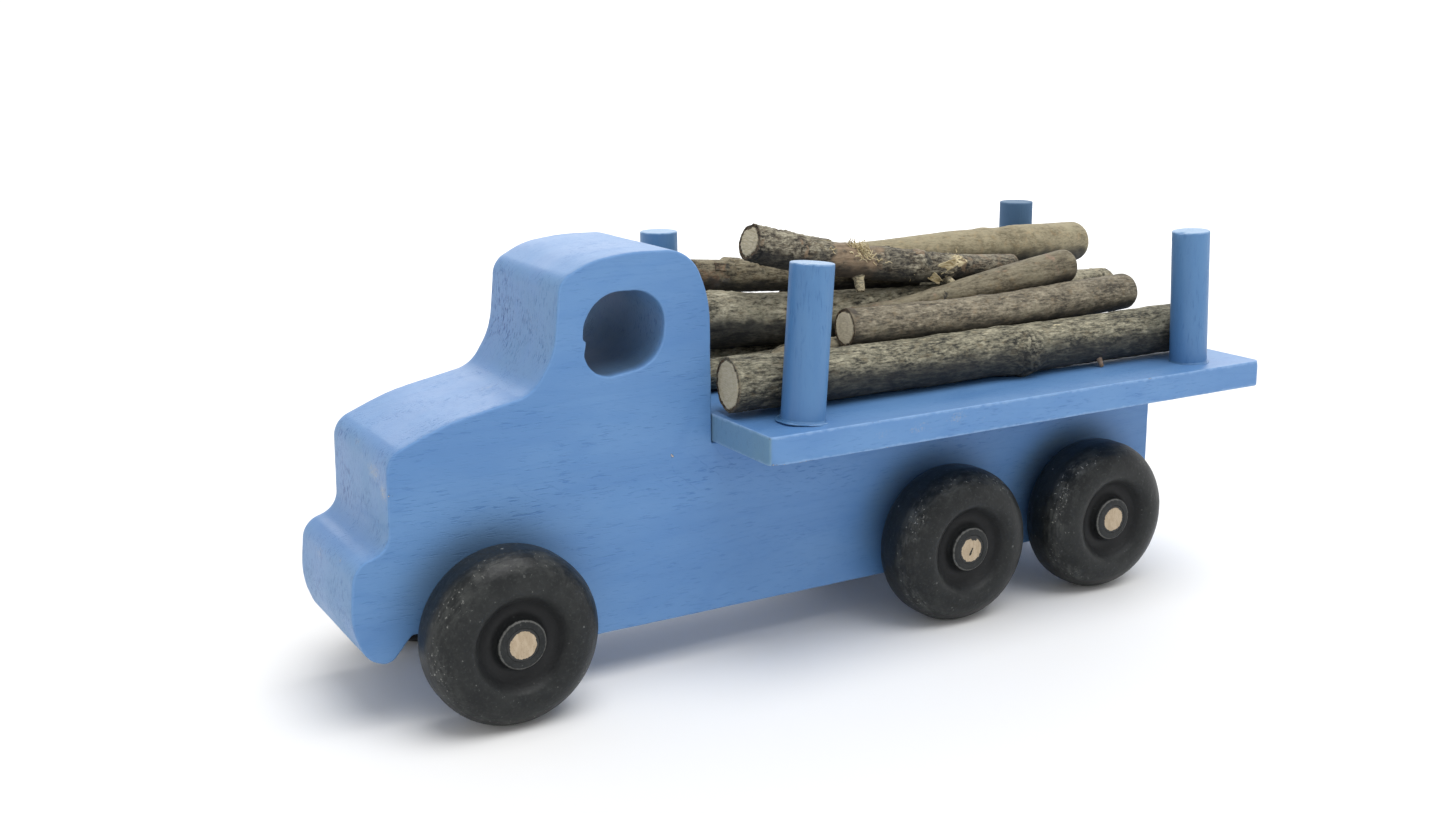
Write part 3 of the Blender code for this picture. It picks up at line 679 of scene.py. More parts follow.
# ------------------------------------------------------------------ painted board
def spots_at(points, places):
    """The largest of several soft spots: each (x, y, z, size along x, y, z, strength)."""
    total = np.zeros(len(points))
    for x, y, z, sx, sy, sz, strength in places:
        d = ((points - np.array([x, y, z])) / np.array([sx, sy, sz])) ** 2
        total = np.maximum(total, strength * np.exp(-d.sum(1)))
    return total


def board():
    outline = even(rounded(BOARD_OUTLINE), 0.9, turning=1)
    window = even(rounded(WINDOW_OUTLINE, 4.0), 0.7, turning=-1)
    # the saw started a little off its line on the window's front edge, and left a small step
    front = window[:, 0] < 42
    window[front, 0] += 0.75 * (smooth(window[front, 1], 98.0, 102.3) - smooth(window[front, 1], 102.4, 103.3))
    window += 0.10 * np.stack([noise(np.stack([window[:, 0] / 2.5, window[:, 1] / 2.5, np.full(len(window), k)], 1), 33) for k in (0.5, 9.5)], 1)
    holes = [window]
    for y in AXLE_Y.values():
        holes.append(circle(y, AXLE_Z, AXLE_D / 2 + GAP, 56)[::-1])
    half = BOARD_T / 2
    points, quads, tris, edge = plate(
        [outline] + holes, -half, half, [0.55, 0.5, 0.5, 0.5, 0.5],
        lambda u, v, w: np.stack([w, u - MID_Y, v], 1), 2.1, 1.9,
        [None, (0.055, 0.0, half), None, None, None], seed=3,
    )
    n = normals_of(points, quads, tris)
    # saw waves run straight across the cut faces; sanding leaves the wide faces nearly flat
    flat = smooth(np.abs(n[:, 0]), 0.8, 0.98)
    along = np.stack([np.zeros(len(points)), points[:, 1] / 2.6, points[:, 2] / 2.6], 1)
    wave = 0.035 * noise(along, 5) + 0.05 * fractal(points / 14.0, 6, 2)
    hollow = 0.03 * fractal(points / 22.0, 7, 2)
    points = points + n * ((1 - flat) * wave + flat * hollow)[:, None]
    points = dents(points, n, [
        (24.3, -141.0, 57.2, 1.1, 0.22), (24.3, -55.4, 65.8, 0.8, 0.18), (22.0, -141.9, 66.0, 1.6, 0.35),
        (24.3, -93.2, 121.5, 1.2, 0.3), (-24.3, -20.0, 40.0, 1.3, 0.3), (-24.3, -112.0, 62.0, 1.0, 0.25),
        (24.3, 92.0, 15.0, 1.3, 0.35), (10.0, 136.6, 40.0, 1.4, 0.25), (24.0, -133.0, 17.0, 1.5, 0.4),
    ])
    end = smooth(np.abs(n[:, 1]), 0.55, 0.9) * (1 - flat)
    wear = spots_at(points, [
        (13.0, -142.0, 71.0, 8.0, 5.0, 3.2, 0.75), (20.5, -142.0, 67.0, 3.2, 4.0, 3.6, 0.85), (-3.0, -141.0, 75.5, 5.0, 4.0, 2.0, 0.55), (3.0, -141.5, 73.0, 6.0, 4.0, 2.0, 0.45),
        (-7.0, -154.0, 44.0, 7.0, 3.0, 3.0, 0.6), (10.0, -153.0, 46.5, 8.0, 3.0, 2.0, 0.5), (-15.0, -153.0, 36.0, 6.0, 3.0, 6.0, 0.35),
        (4.0, -104.0, 88.2, 1.6, 9.0, 3.0, 0.6), (8.0, -90.0, 106.0, 8.0, 3.0, 9.0, 0.45),
        (-24.0, -142.0, 70.0, 3.0, 3.0, 5.0, 0.7), (-24.3, -84.0, 124.0, 2.0, 9.0, 2.0, 0.6),
        (12.0, -46.0, 126.0, 9.0, 6.0, 2.0, 0.45), (0.0, 136.6, 60.0, 12.0, 2.0, 6.0, 0.45),
    ])
    bare = spots_at(points, [
        (24.3, -55.4, 65.8, 0.8, 0.9, 0.5, 0.75), (24.6, -141.6, 66.5, 0.7, 0.8, 1.6, 0.62),
        (24.3, 93.0, 14.6, 0.9, 2.4, 0.7, 0.9), (-24.3, -133.2, 18.4, 1.0, 1.5, 1.0, 0.85),
        (-24.0, 136.5, 66.5, 1.0, 1.0, 1.2, 0.9), (-24.3, -42.5, 112.0, 0.8, 1.6, 1.6, 0.7),
    ])
    streak = spots_at(points, [
        (24.3, -46.0, 60.0, 6.0, 26.0, 8.0, 0.9), (24.3, -12.0, 52.0, 6.0, 34.0, 7.0, 0.8), (24.3, -24.0, 33.0, 6.0, 44.0, 5.0, 0.7),
        (24.3, -104.0, 60.0, 6.0, 24.0, 7.0, 0.8), (-24.3, 0.0, 46.0, 6.0, 60.0, 9.0, 0.8), (24.3, 60.0, 56.0, 6.0, 30.0, 5.0, 0.5),
        (-10.0, -91.0, 107.0, 15.0, 6.0, 10.0, 1.0), (-12.0, -141.0, 66.0, 12.0, 4.0, 9.0, 0.9), (-8.0, -154.0, 38.0, 14.0, 5.0, 8.0, 0.6),
    ])
    # painted shade inside the window: its walls are mixed toward dark blue, most at the bottom, less toward the top and
    # beside the rear wall
    from_window = np.hypot((points[:, 1] + 69.6) / 15.5, (points[:, 2] - 103.6) / 15.5)
    shade = (from_window < 1.25) * smooth(half - 0.5 - np.abs(points[:, 0]), 0.0, 3.0) * (0.80 - 0.42 * smooth(points[:, 2], 97.0, 113.0))
    shade = shade * (1 - 0.40 * smooth(points[:, 1], -64.0, -57.0) * smooth(points[:, 0], -12.0, 20.0))
    # painted shadow: a soft dark halo on the wide faces round each wheel, strongest above it and at the rear wheel
    for y, strong in ((AXLE_Y["front"], 0.62), (AXLE_Y["middle"], 0.74), (AXLE_Y["rear"], 0.95)):
        away = np.hypot(points[:, 1] - (y - MID_Y), points[:, 2] - AXLE_Z)
        side_of = np.arctan2(points[:, 2] - AXLE_Z, points[:, 1] - (y - MID_Y))
        weight = 0.12 + 0.88 * np.clip(np.cos(side_of - math.radians(105)), 0, 1)
        shade = np.maximum(shade, strong * weight * flat * np.exp(-((np.clip(away - 24.0, 0, None) / 6.5) ** 2)) * smooth(np.abs(points[:, 0]), half - 0.6, half - 0.3))
    piece = mesh("painted_board", points, quads, tris, paint("blue_board_paint", worn=0.12), {"end": end, "edge": edge, "wear": wear, "bare": bare, "streak": streak, "shade": shade})
    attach(piece, "truck")
    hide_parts("cab_and_chassis")


# ------------------------------------------------------------------ flatbed
def deck():
    half = DECK_W / 2
    outline = even(rounded([
        (-half, DECK_FRONT_Y - MID_Y, 1.2), (half, DECK_FRONT_Y - MID_Y, 1.2),
        (half, DECK_REAR_Y - MID_Y, 2.5), (-half, DECK_REAR_Y - MID_Y, 2.5),
    ]), 0.9, turning=1)
    loops, shears, ease = [outline], [None], [0.38]
    for side, y, lean_x, lean_y, diameter, top in STAKES.values():
        low_u = side * STAKE_X - lean_x * DECK_T
        low_v = y - MID_Y - lean_y * DECK_T
        loops.append(circle(low_u, low_v, diameter / 2 + 0.16, 72)[::-1])
        shears.append((lean_x, lean_y, DECK_BOTTOM_Z))
        ease.append(0.25)
    points, quads, tris, edge = plate(
        loops, DECK_BOTTOM_Z, DECK_TOP_Z, ease, lambda u, v, w: np.stack([u, v, w], 1), 2.1, 1.1, shears, seed=11,
    )
    n = normals_of(points, quads, tris)
    flat = smooth(np.abs(n[:, 2]), 0.8, 0.98)
    # the edge mask, and with it the pale line of rubbed paint and painted highlight, is full along the outer edges and
    # weaker round the stake holes
    edge = edge * np.where(np.abs(points[:, 0]) > 52, 1, np.where((points[:, 1] > 150) | (points[:, 1] < -38), 1, 0.3))
    ripple = 0.03 * noise(np.stack([points[:, 0] / 2.4, points[:, 1] / 2.4, np.zeros(len(points))], 1), 15)
    points = points + n * ((1 - flat) * (ripple + 0.04 * fractal(points / 12.0, 16, 2)) + flat * 0.03 * fractal(points / 20.0, 17, 2))[:, None]
    points = dents(points, n, [
        (57.5, -40.6, 67.8, 1.3, 0.5), (57.5, -38.0, 67.8, 0.8, 0.3), (57.5, -5.6, 76.4, 1.1, 0.28), (57.5, 12.0, 72.2, 2.0, 0.12),
        (57.5, 41.0, 76.2, 0.7, 0.25), (43.6, 103.9, 76.5, 0.7, 0.25), (49.3, 84.6, 76.5, 0.6, 0.2), (57.4, 154.0, 76.3, 1.3, 0.35),
        (-57.5, -10.0, 76.4, 1.4, 0.4), (-57.5, 96.0, 68.0, 1.2, 0.35), (-20.0, 154.3, 68.2, 1.5, 0.35), (30.0, 154.3, 76.2, 1.0, 0.3),
    ])
    end = smooth(np.abs(n[:, 1]), 0.55, 0.9) * (1 - flat)
    wear = spots_at(points, [
        (57.5, -2.0, 72.0, 3.0, 8.0, 3.2, 0.40), (57.5, 10.0, 72.5, 3.0, 7.0, 3.0, 0.52), (57.5, 24.0, 73.5, 3.0, 6.0, 2.6, 0.55), (57.5, 34.0, 72.0, 3.0, 5.0, 2.6, 0.40),
        (-57.5, 40.0, 72.0, 3.0, 16.0, 3.0, 0.6), (0.0, 154.3, 72.0, 18.0, 2.0, 3.0, 0.45),
    ])
    bare = spots_at(points, [
        (57.6, -40.8, 67.9, 1.0, 1.9, 0.7, 1.0), (57.6, -37.2, 67.9, 1.0, 1.0, 0.4, 0.8), (57.6, -30.0, 67.9, 1.0, 4.5, 0.35, 0.62),
        (57.6, -5.6, 76.4, 0.8, 1.6, 0.35, 0.72), (57.6, -1.0, 67.9, 0.8, 2.5, 0.3, 0.62),
        (57.6, 103.0, 76.3, 0.8, 1.6, 0.3, 0.6), (57.4, 153.6, 76.2, 1.2, 1.2, 0.5, 0.75),
        (-57.6, -10.0, 76.3, 0.8, 2.4, 0.5, 0.8), (-57.6, 96.0, 68.0, 0.8, 2.6, 0.6, 0.9), (-20.0, 154.4, 68.1, 2.4, 0.8, 0.6, 0.85),
        (-56.5, -41.3, 76.3, 1.2, 0.8, 0.6, 0.8), (56.6, -41.4, 76.0, 0.8, 0.6, 0.8, 0.55),
    ])
    streak = spots_at(points, [(57.5, 90.0, 72.0, 6.0, 40.0, 3.0, 0.5), (0.0, 0.0, 67.0, 60.0, 90.0, 3.0, 0.6), (-57.5, 30.0, 72.0, 6.0, 60.0, 3.0, 0.6)])
    piece = mesh("painted_flatbed", points, quads, tris, paint("blue_deck_paint", seed=3.1, tone=(1.0, 1.0, 1.0), worn=0.6, end_tone=(1.55, 1.22, 0.84), end_mix=(0.75, 0.95)), {"end": end, "edge": edge, "wear": wear, "bare": bare, "streak": streak, "shade": np.zeros(len(points))})
    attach(piece, "truck")
    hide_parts("flatbed_deck")


# ------------------------------------------------------------------ stakes
def revolve(profile, around, frame_of, bump=None):
    """Points of a turned body. profile is (radius, height) rows; the first and last rows
    close on a point. frame_of gives points from (radius, height, angle) arrays."""
    radius, height = (np.array([p[k] for p in profile]) for k in range(2))
    a = np.arange(around) * 2 * math.pi / around
    r = np.repeat(radius, around)
    h = np.repeat(height, around)
    angle = np.tile(a, len(profile))
    if bump is not None:
        r, h = bump(r, h, angle)
    rim = frame_of(r, h, angle)
    n = len(profile) * around
    ends = frame_of(np.zeros(2), np.array([height[0], height[-1]]), np.zeros(2))
    points = np.concatenate([rim, ends])
    k = np.arange(around)
    low = np.stack([np.full(around, n), (k + 1) % around, k], 1)
    top = (len(profile) - 1) * around
    high = np.stack([np.full(around, n + 1), top + k, top + (k + 1) % around], 1)
    return points, strips(len(profile), around), np.concatenate([low, high]), np.append(r, [0, 0]), np.append(h, [height[0], height[-1]]), np.append(angle, [0, 0])


def stakes():
    # painted light: the stakes' sawn ends are mixed to a much paler blue, which lightens their tops
    look = paint("blue_stake_paint", along="z", seed=7.7, tone=(0.76, 0.83, 0.82), worn=0.9, end_tone=(3.4, 2.1, 1.5), end_mix=(0.85, 1.0))
    for index, (name, (side, y, lean_x, lean_y, diameter, top)) in enumerate(STAKES.items()):
        R = diameter / 2
        foot = np.array([side * STAKE_X - lean_x * (DECK_T - 0.4), y - MID_Y - lean_y * (DECK_T - 0.4), DECK_BOTTOM_Z + 0.4])
        head = np.array([side * STAKE_X + lean_x * (top - DECK_TOP_Z), y - MID_Y + lean_y * (top - DECK_TOP_Z), top])
        axis = (head - foot) / np.linalg.norm(head - foot)
        side_u = np.cross(axis, [0, 1, 0])
        side_u /= np.linalg.norm(side_u)
        side_v = np.cross(axis, side_u)
        length = np.linalg.norm(head - foot)
        deck_at = (DECK_TOP_Z - DECK_BOTTOM_Z - 0.4)
        ease = 0.42
        skirt = 1.0 if name == "stake_front_left" else 0.45
        profile = [(f * (R - 0.5), 0.0) for f in (0.15, 0.4, 0.65, 0.9)] + [(R - 0.35, 0.05), (R - 0.05, 0.35)]
        profile += [(R, h) for h in (2.0, 4.5, 6.2, deck_at - 0.9, deck_at - 0.35)]
        # glue and paint squeezed out where the stake enters the flatbed: an outer crinkle and a fillet
        wide = R + 1.9 * skirt + 0.25
        for t in np.linspace(0, 1, 15):
            profile.append((wide + (R + 0.05 - wide) * t, deck_at + 0.0))
        rim_rows = len(profile)
        profile += [(R, deck_at + h) for h in (0.5, 0.8, 1.2, 1.8)]
        profile += [(R, h) for h in np.linspace(deck_at + 2.6, length - ease - 0.6, 46)]
        for k in range(5):
            t = math.pi / 2 * k / 4
            profile.append((R - ease * (1 - math.cos(t)), length - ease * (1 - math.sin(t))))
        profile += [(f * (R - ease), length + 0.05 * (1 - f * f)) for f in (0.97, 0.9, 0.78, 0.62, 0.42, 0.2)]

        def bump(r, h, angle, index=index, R=R, wide=wide, skirt=skirt, length=length, name=name, deck_at=deck_at):
            q = np.stack([R * np.cos(angle), R * np.sin(angle), h], 1)
            on_side = smooth(r, R - 1.0, R - 0.4)
            d = 0.05 * noise(q * [0.28, 0.28, 0.02] + index * 9, 21) + 0.03 * noise(q * [0.9, 0.9, 0.06], 22)
            base = np.abs(h - deck_at) < 1e-6
            t = np.clip((wide - r) / (wide - R), 0, 1)
            swirl = noise(q * [0.20, 0.20, 0.0] + 5 * index, 23)
            crinkle = noise(q * [0.75, 0.75, 0.0] + 7 * index + np.stack([t, t, t], 1) * 1.5, 24)
            strong = np.clip(0.45 + 1.5 * swirl, 0, 1) * skirt
            ridge = np.exp(-(((t - 0.28 - 0.10 * crinkle) / 0.11) ** 2)) * 0.42 * strong + np.exp(-(((t - 0.62 - 0.12 * crinkle) / 0.10) ** 2)) * 0.26 * strong
            fillet = 0.55 * smooth(t, 0.78, 1.0)
            h = h + np.where(base, -0.04 + 0.10 * smooth(t, 0.0, 0.2) + ridge + fillet, 0)
            r = np.where(base, r - (1 - t) * (wide - R) * 0.45 * (1 - np.clip(0.5 + swirl + 0.3 * crinkle, 0, 1)), r)
            r = r + np.where(base, 0, on_side * d)
            if name == "stake_front_left":     # a nick in the top edge, left by the saw
                nick = np.exp(-((np.angle(np.exp(1j * (angle - 2.15))) * R / 1.2) ** 2)) * smooth(h, length - 1.0, length - 0.25) * smooth(r, R * 0.6, R * 0.88)
                h = h - 0.45 * nick
                r = r - 0.22 * nick
            if name == "stake_rear_left":
                nick = np.exp(-((np.angle(np.exp(1j * (angle - 1.7))) * R / 1.7) ** 2)) * smooth(h, length - 1.6, length - 0.4) * smooth(r, R * 0.5, R * 0.85)
                h = h - 0.5 * nick
                r = r - 0.3 * nick
            return r, h

        def frame_of(r, h, angle, foot=foot, axis=axis, side_u=side_u, side_v=side_v):
            return foot + h[:, None] * axis + (r * np.cos(angle))[:, None] * side_u + (r * np.sin(angle))[:, None] * side_v

        points, quads, tris, r, h, angle = revolve(profile, 84, frame_of, bump)
        end = np.where((h > length - ease * 0.5) & (r < R - 0.2), 0.70, 0.0) + np.where(h < 0.3, 1.0, 0.0)
        edge = np.exp(-(((h - (length - ease * 0.45)) / 0.5) ** 2)) * smooth(r, R - ease * 1.4, R - ease * 0.4)
        lump = smooth(h, deck_at + 0.15, deck_at + 0.4) * (1 - smooth(h, deck_at + 0.7, deck_at + 1.2)) * smooth(r, R + 0.1, R + 0.35)
        edge = np.maximum(edge, lump)
        bare = np.zeros(len(points))
        if name == "stake_front_left":
            bare = spots_at(points, [(46.0, -15.9, 122.4, 0.9, 0.9, 0.4, 0.45)])
        if name == "stake_rear_left":
            bare = spots_at(points, [(50.9, 132.0, 88.6, 0.8, 0.8, 0.8, 0.72)])
        # painted shade: the rear right stake is darkened all over (shade 0.62)
        piece = mesh("painted_" + name, points, quads, tris, look, {"end": end, "edge": edge, "wear": np.zeros(len(points)), "bare": bare, "streak": np.full(len(points), 0.1), "shade": np.full(len(points), 0.62 if name == "stake_rear_right" else 0.0)})
        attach(piece, "truck")
        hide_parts(name)


# ------------------------------------------------------------------ wheels and axles
def spline(corners, spacing):
    """A smooth line through (radius, x) corners, by centripetal Catmull-Rom."""
    p = np.array([corners[0]] + list(corners) + [corners[-1]], float)
    p[0] = 2 * p[1] - p[2]
    p[-1] = 2 * p[-2] - p[-3]
    made = []
    for a, b, c, d in zip(p, p[1:], p[2:], p[3:]):
        n = max(1, math.ceil(np.linalg.norm(c - b) / spacing))
        t = np.arange(n)[:, None] / n
        k = [max(np.linalg.norm(q - s), 1e-6) ** 0.5 for q, s in ((b, a), (c, b), (d, c))]
        m1 = (c - b + k[1] * ((b - a) / k[0] - (c - a) / (k[0] + k[1])))
        m2 = (c - b + k[1] * ((d - c) / k[2] - (d - b) / (k[1] + k[2])))
        made.append((2 * t**3 - 3 * t**2 + 1) * b + (t**3 - 2 * t**2 + t) * m1 + (-2 * t**3 + 3 * t**2) * c + (t**3 - t**2) * m2)
    return np.concatenate(made + [p[-2:-1]])


def wheel_line():
    """(radius, x) round a left wheel's section, x outward from its middle plane, from
    the bore over the inner face, the tread, the outer shoulder, the recess and the hub."""
    outer, rim = WHEEL_W / 2, WHEEL_D / 2
    hub = HUB_FACE_X - WHEEL_X
    bore = AXLE_D / 2 + 0.04
    inner = [(bore, -outer), (8.0, -outer), (14.0, -outer), (17.2, -outer)]
    for k in range(1, 6):
        a = math.radians(18 * k)
        inner.append((rim - 7.5 + 7.5 * math.sin(a), -outer + 7.5 * (1 - math.cos(a))))
    tread = [(rim + 0.02, -2.0), (rim + 0.0, 0.9)]
    shoulder = [(rim - 9.4 * (1 - math.cos(math.radians(a))), outer - 9.4 * (1 - math.sin(math.radians(a)))) for a in (12, 24, 36, 48, 60, 72, 84)]
    face = [(15.6, outer - 0.05), (14.7, outer - 0.32), (13.8, outer - 0.95), (13.0, outer - 1.9), (12.3, outer - 3.0), (11.5, outer - 4.1), (10.5, outer - 4.8), (9.4, outer - 5.05), (8.6, outer - 4.95), (7.95, outer - 4.4), (7.55, outer - 3.5)]
    boss = [(7.33, hub - 1.7), (7.24, hub - 0.9), (7.0, hub - 0.42), (6.6, hub - 0.16), (6.1, hub - 0.04), (5.4, hub), (bore, hub - 0.02)]
    return spline(inner, 0.8)[:-1].tolist() + spline([inner[-1]] + tread + shoulder + face + boss, 0.42).tolist()


def wheels_and_axles():
    black = black_paint()
    wood = bare_wood("bare_dowel_wood", (0.47, 0.38, 0.27), (0.40, 0.315, 0.215), (0.24, 0.175, 0.105))
    line = np.array(wheel_line())
    around = 132
    count = len(line)
    turning = {"front_left": 0.3, "front_right": 1.9, "middle_left": 2.6, "middle_right": 4.0, "rear_left": 5.1, "rear_right": 0.9}
    for seed, (place, y) in enumerate(AXLE_Y.items()):
        for side, word in ((1, "left"), (-1, "right")):
            name = "wheel_%s_%s" % (place, word)
            a = np.arange(around) * 2 * math.pi / around
            radius = np.repeat(line[:, 0], around)
            x = np.repeat(line[:, 1], around)
            angle = np.tile(a, count)
            turned = angle + turning[place + "_" + word]
            q = np.stack([radius * np.cos(turned), radius * np.sin(turned), x], 1) + 40 * seed + 9 * side
            body = smooth(radius, 7.0, 9.0)
            # turning marks are rings; knocks are small dents on the tread and shoulder
            rings = 0.016 * np.sin(radius * 9.0) * body + 0.012 * np.sin(x * 8.0 + radius) * smooth(radius, 22, 25)
            rough = 0.035 * noise(q / 1.4, 41) + 0.06 * fractal(q / 7.0, 42, 2)
            knock = -0.16 * smooth(fractal(q / 2.2, 43, 2), 0.62, 0.95) * smooth(radius, 17, 22)
            section = np.roll(line, -1, axis=0) - np.roll(line, 1, axis=0)
            section /= np.linalg.norm(section, axis=1, keepdims=True)
            away = np.stack([np.repeat(section[:, 1], around), -np.repeat(section[:, 0], around)], 1)
            lift = (rings + rough * body + knock)
            r2 = radius + away[:, 0] * lift
            x2 = x + away[:, 1] * lift
            keep = radius < 5.2
            r2[keep], x2[keep] = radius[keep], x[keep]
            r2 = np.minimum(r2, WHEEL_D / 2 + 0.02)
            points = np.stack([side * (WHEEL_X + x2), y - MID_Y + r2 * np.cos(angle), AXLE_Z + r2 * np.sin(angle)], 1)
            rows = strips(count, around)
            last = (count - 1) * around
            k = np.arange(around)
            close = np.stack([last + k, last + (k + 1) % around, (k + 1) % around, k], 1)
            shoulder = np.exp(-(((radius - 23.6) / 2.6) ** 2)) * smooth(x, 2.0, 4.0)
            shoulder = shoulder * np.clip(0.75 + 0.9 * noise(q / 9.0, 44), 0, 1.2)
            worn = np.exp(-(((radius - 6.85) / 0.42) ** 2)) * smooth(x, 7.6, 8.4)
            # hollow: the recess and the groove round the boss, which the paint makes a little lighter as painted light
            hollow = smooth(radius, 7.3, 7.9) * (1 - smooth(radius, 11.2, 14.6)) * smooth(x, 2.0, 4.0)
            hollow = np.maximum(hollow, 0.55 * np.exp(-(((radius - 7.3) / 0.35) ** 2)) * (1 - smooth(x, 7.2, 8.3)) * smooth(x, 2.0, 4.0))
            worn = np.maximum(worn, 0.55 * np.exp(-(((radius - 25.0) / 0.8) ** 2)) * smooth(x, 0.0, 3.0) * np.clip(0.4 + noise(q / 5.0, 45), 0, 1))
            piece = mesh("turned_" + name, points, np.concatenate([rows, close]), np.zeros((0, 3)), black, {"shoulder": shoulder, "worn": worn, "hollow": hollow})
            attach(piece, place + "_wheelset")
            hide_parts(name)

        R = AXLE_D / 2
        reach = HUB_FACE_X
        half = [(f * R, reach + 0.10 * (1 - f)) for f in (0.06, 0.13, 0.2, 0.27, 0.34, 0.41, 0.48, 0.55, 0.62, 0.69, 0.76, 0.83, 0.89, 0.94)]
        half += [(R * 0.975, reach - 0.03), (R - 0.01, reach - 0.12), (R, reach - 0.3)]
        side_rows = [(R, x) for x in np.linspace(reach - 1.5, -(reach - 1.5), 44)]
        profile = half + side_rows + [(r, -x) for r, x in half[::-1]]

        def bump(r, h, angle, seed=seed):
            q = np.stack([r * np.cos(angle), r * np.sin(angle), np.sign(h) * 10.0], 1)
            face = np.abs(h) > reach - 0.13
            marks = 0.05 * noise(q * [1.2, 0.35, 1.0] + seed * 7, 51) + 0.03 * noise(q * 2.1 + seed, 52)
            return r, h + np.where(face, np.sign(h) * np.minimum(marks, 0.02), 0)

        def frame_of(r, h, angle, y=y):
            return np.stack([h, y - MID_Y + r * np.cos(angle), AXLE_Z + r * np.sin(angle)], 1)

        points, quads, tris, r, h, angle = revolve(profile, 96, frame_of, bump)
        radial = np.hypot(points[:, 1] - (y - MID_Y), points[:, 2] - AXLE_Z)
        ragged = 0.15 * fractal(points / 1.3 + seed * 3, 53, 2) + 0.12 * noise(points / 0.45 + seed * 5, 54)
        on_end = np.abs(points[:, 0]) > reach - 0.6
        lap = np.where(on_end, smooth(radial + ragged, 3.76, 4.16), 0.0)
        crack = np.zeros(len(points))
        if place == "middle":
            lapped = spots_at(points, [(45.5, y - MID_Y + 0.7, AXLE_Z + 3.6, 3, 1.15, 0.75, 1.0), (45.5, y - MID_Y + 1.6, AXLE_Z + 3.2, 3, 0.7, 0.6, 0.8)])
            lap = np.maximum(lap, lapped)
            for k in range(6):
                t = k / 5
                crack = np.maximum(crack, spots_at(points, [(45.5, y - MID_Y - 0.55 + 0.95 * t, AXLE_Z - 1.5 + 1.9 * t, 3, 0.34 + 0.18 * (1 - t), 0.34 + 0.2 * (1 - t), 0.95)]))
        axle = mesh("dowel_%s_axle" % place, points, quads, tris, wood, {"lap": lap, "crack": crack})
        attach(axle, place + "_wheelset")
        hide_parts(place + "_axle")


# ------------------------------------------------------------------ branches
def through(a, b, c, t):
    """The value at t of the quadratic that is a, b and c at 0, 1/2 and 1."""
    return a * (2 * (t - 0.5) * (t - 1)) - b * (4 * t * (t - 1)) + c * (2 * t * (t - 0.5))


def log_axis(log, samples):
    name, front, middle, rear, rises, radii, slant = log
    t = np.linspace(0, 1, samples)
    line = np.stack([
        through(front[0], middle[0], rear[0], t), through(front[1], middle[1], rear[1], t) - MID_Y, through(0.0, rises[0], rises[1], t),
    ], 1)
    return line, through(radii[0], radii[1], radii[2], t)


def resting_height(line, radii, below):
    """How high the front end lies once the branch rests on the deck or on a branch below it."""
    height = (DECK_TOP_Z + LOG_GAP + radii - line[:, 2]).max()
    for other, sizes in below:
        reach = radii[:, None] + sizes[None, :] + LOG_GAP
        flat = ((line[:, None, :2] - other[None, :, :2]) ** 2).sum(2)
        near = flat < reach * reach
        if near.any():
            up = other[None, :, 2] + np.sqrt(np.where(near, reach * reach - flat, 0)) - line[:, None, 2]
            height = max(height, up[near].max())
    return height


MARKS = ("bast", "ruddy", "lichen", "soot")


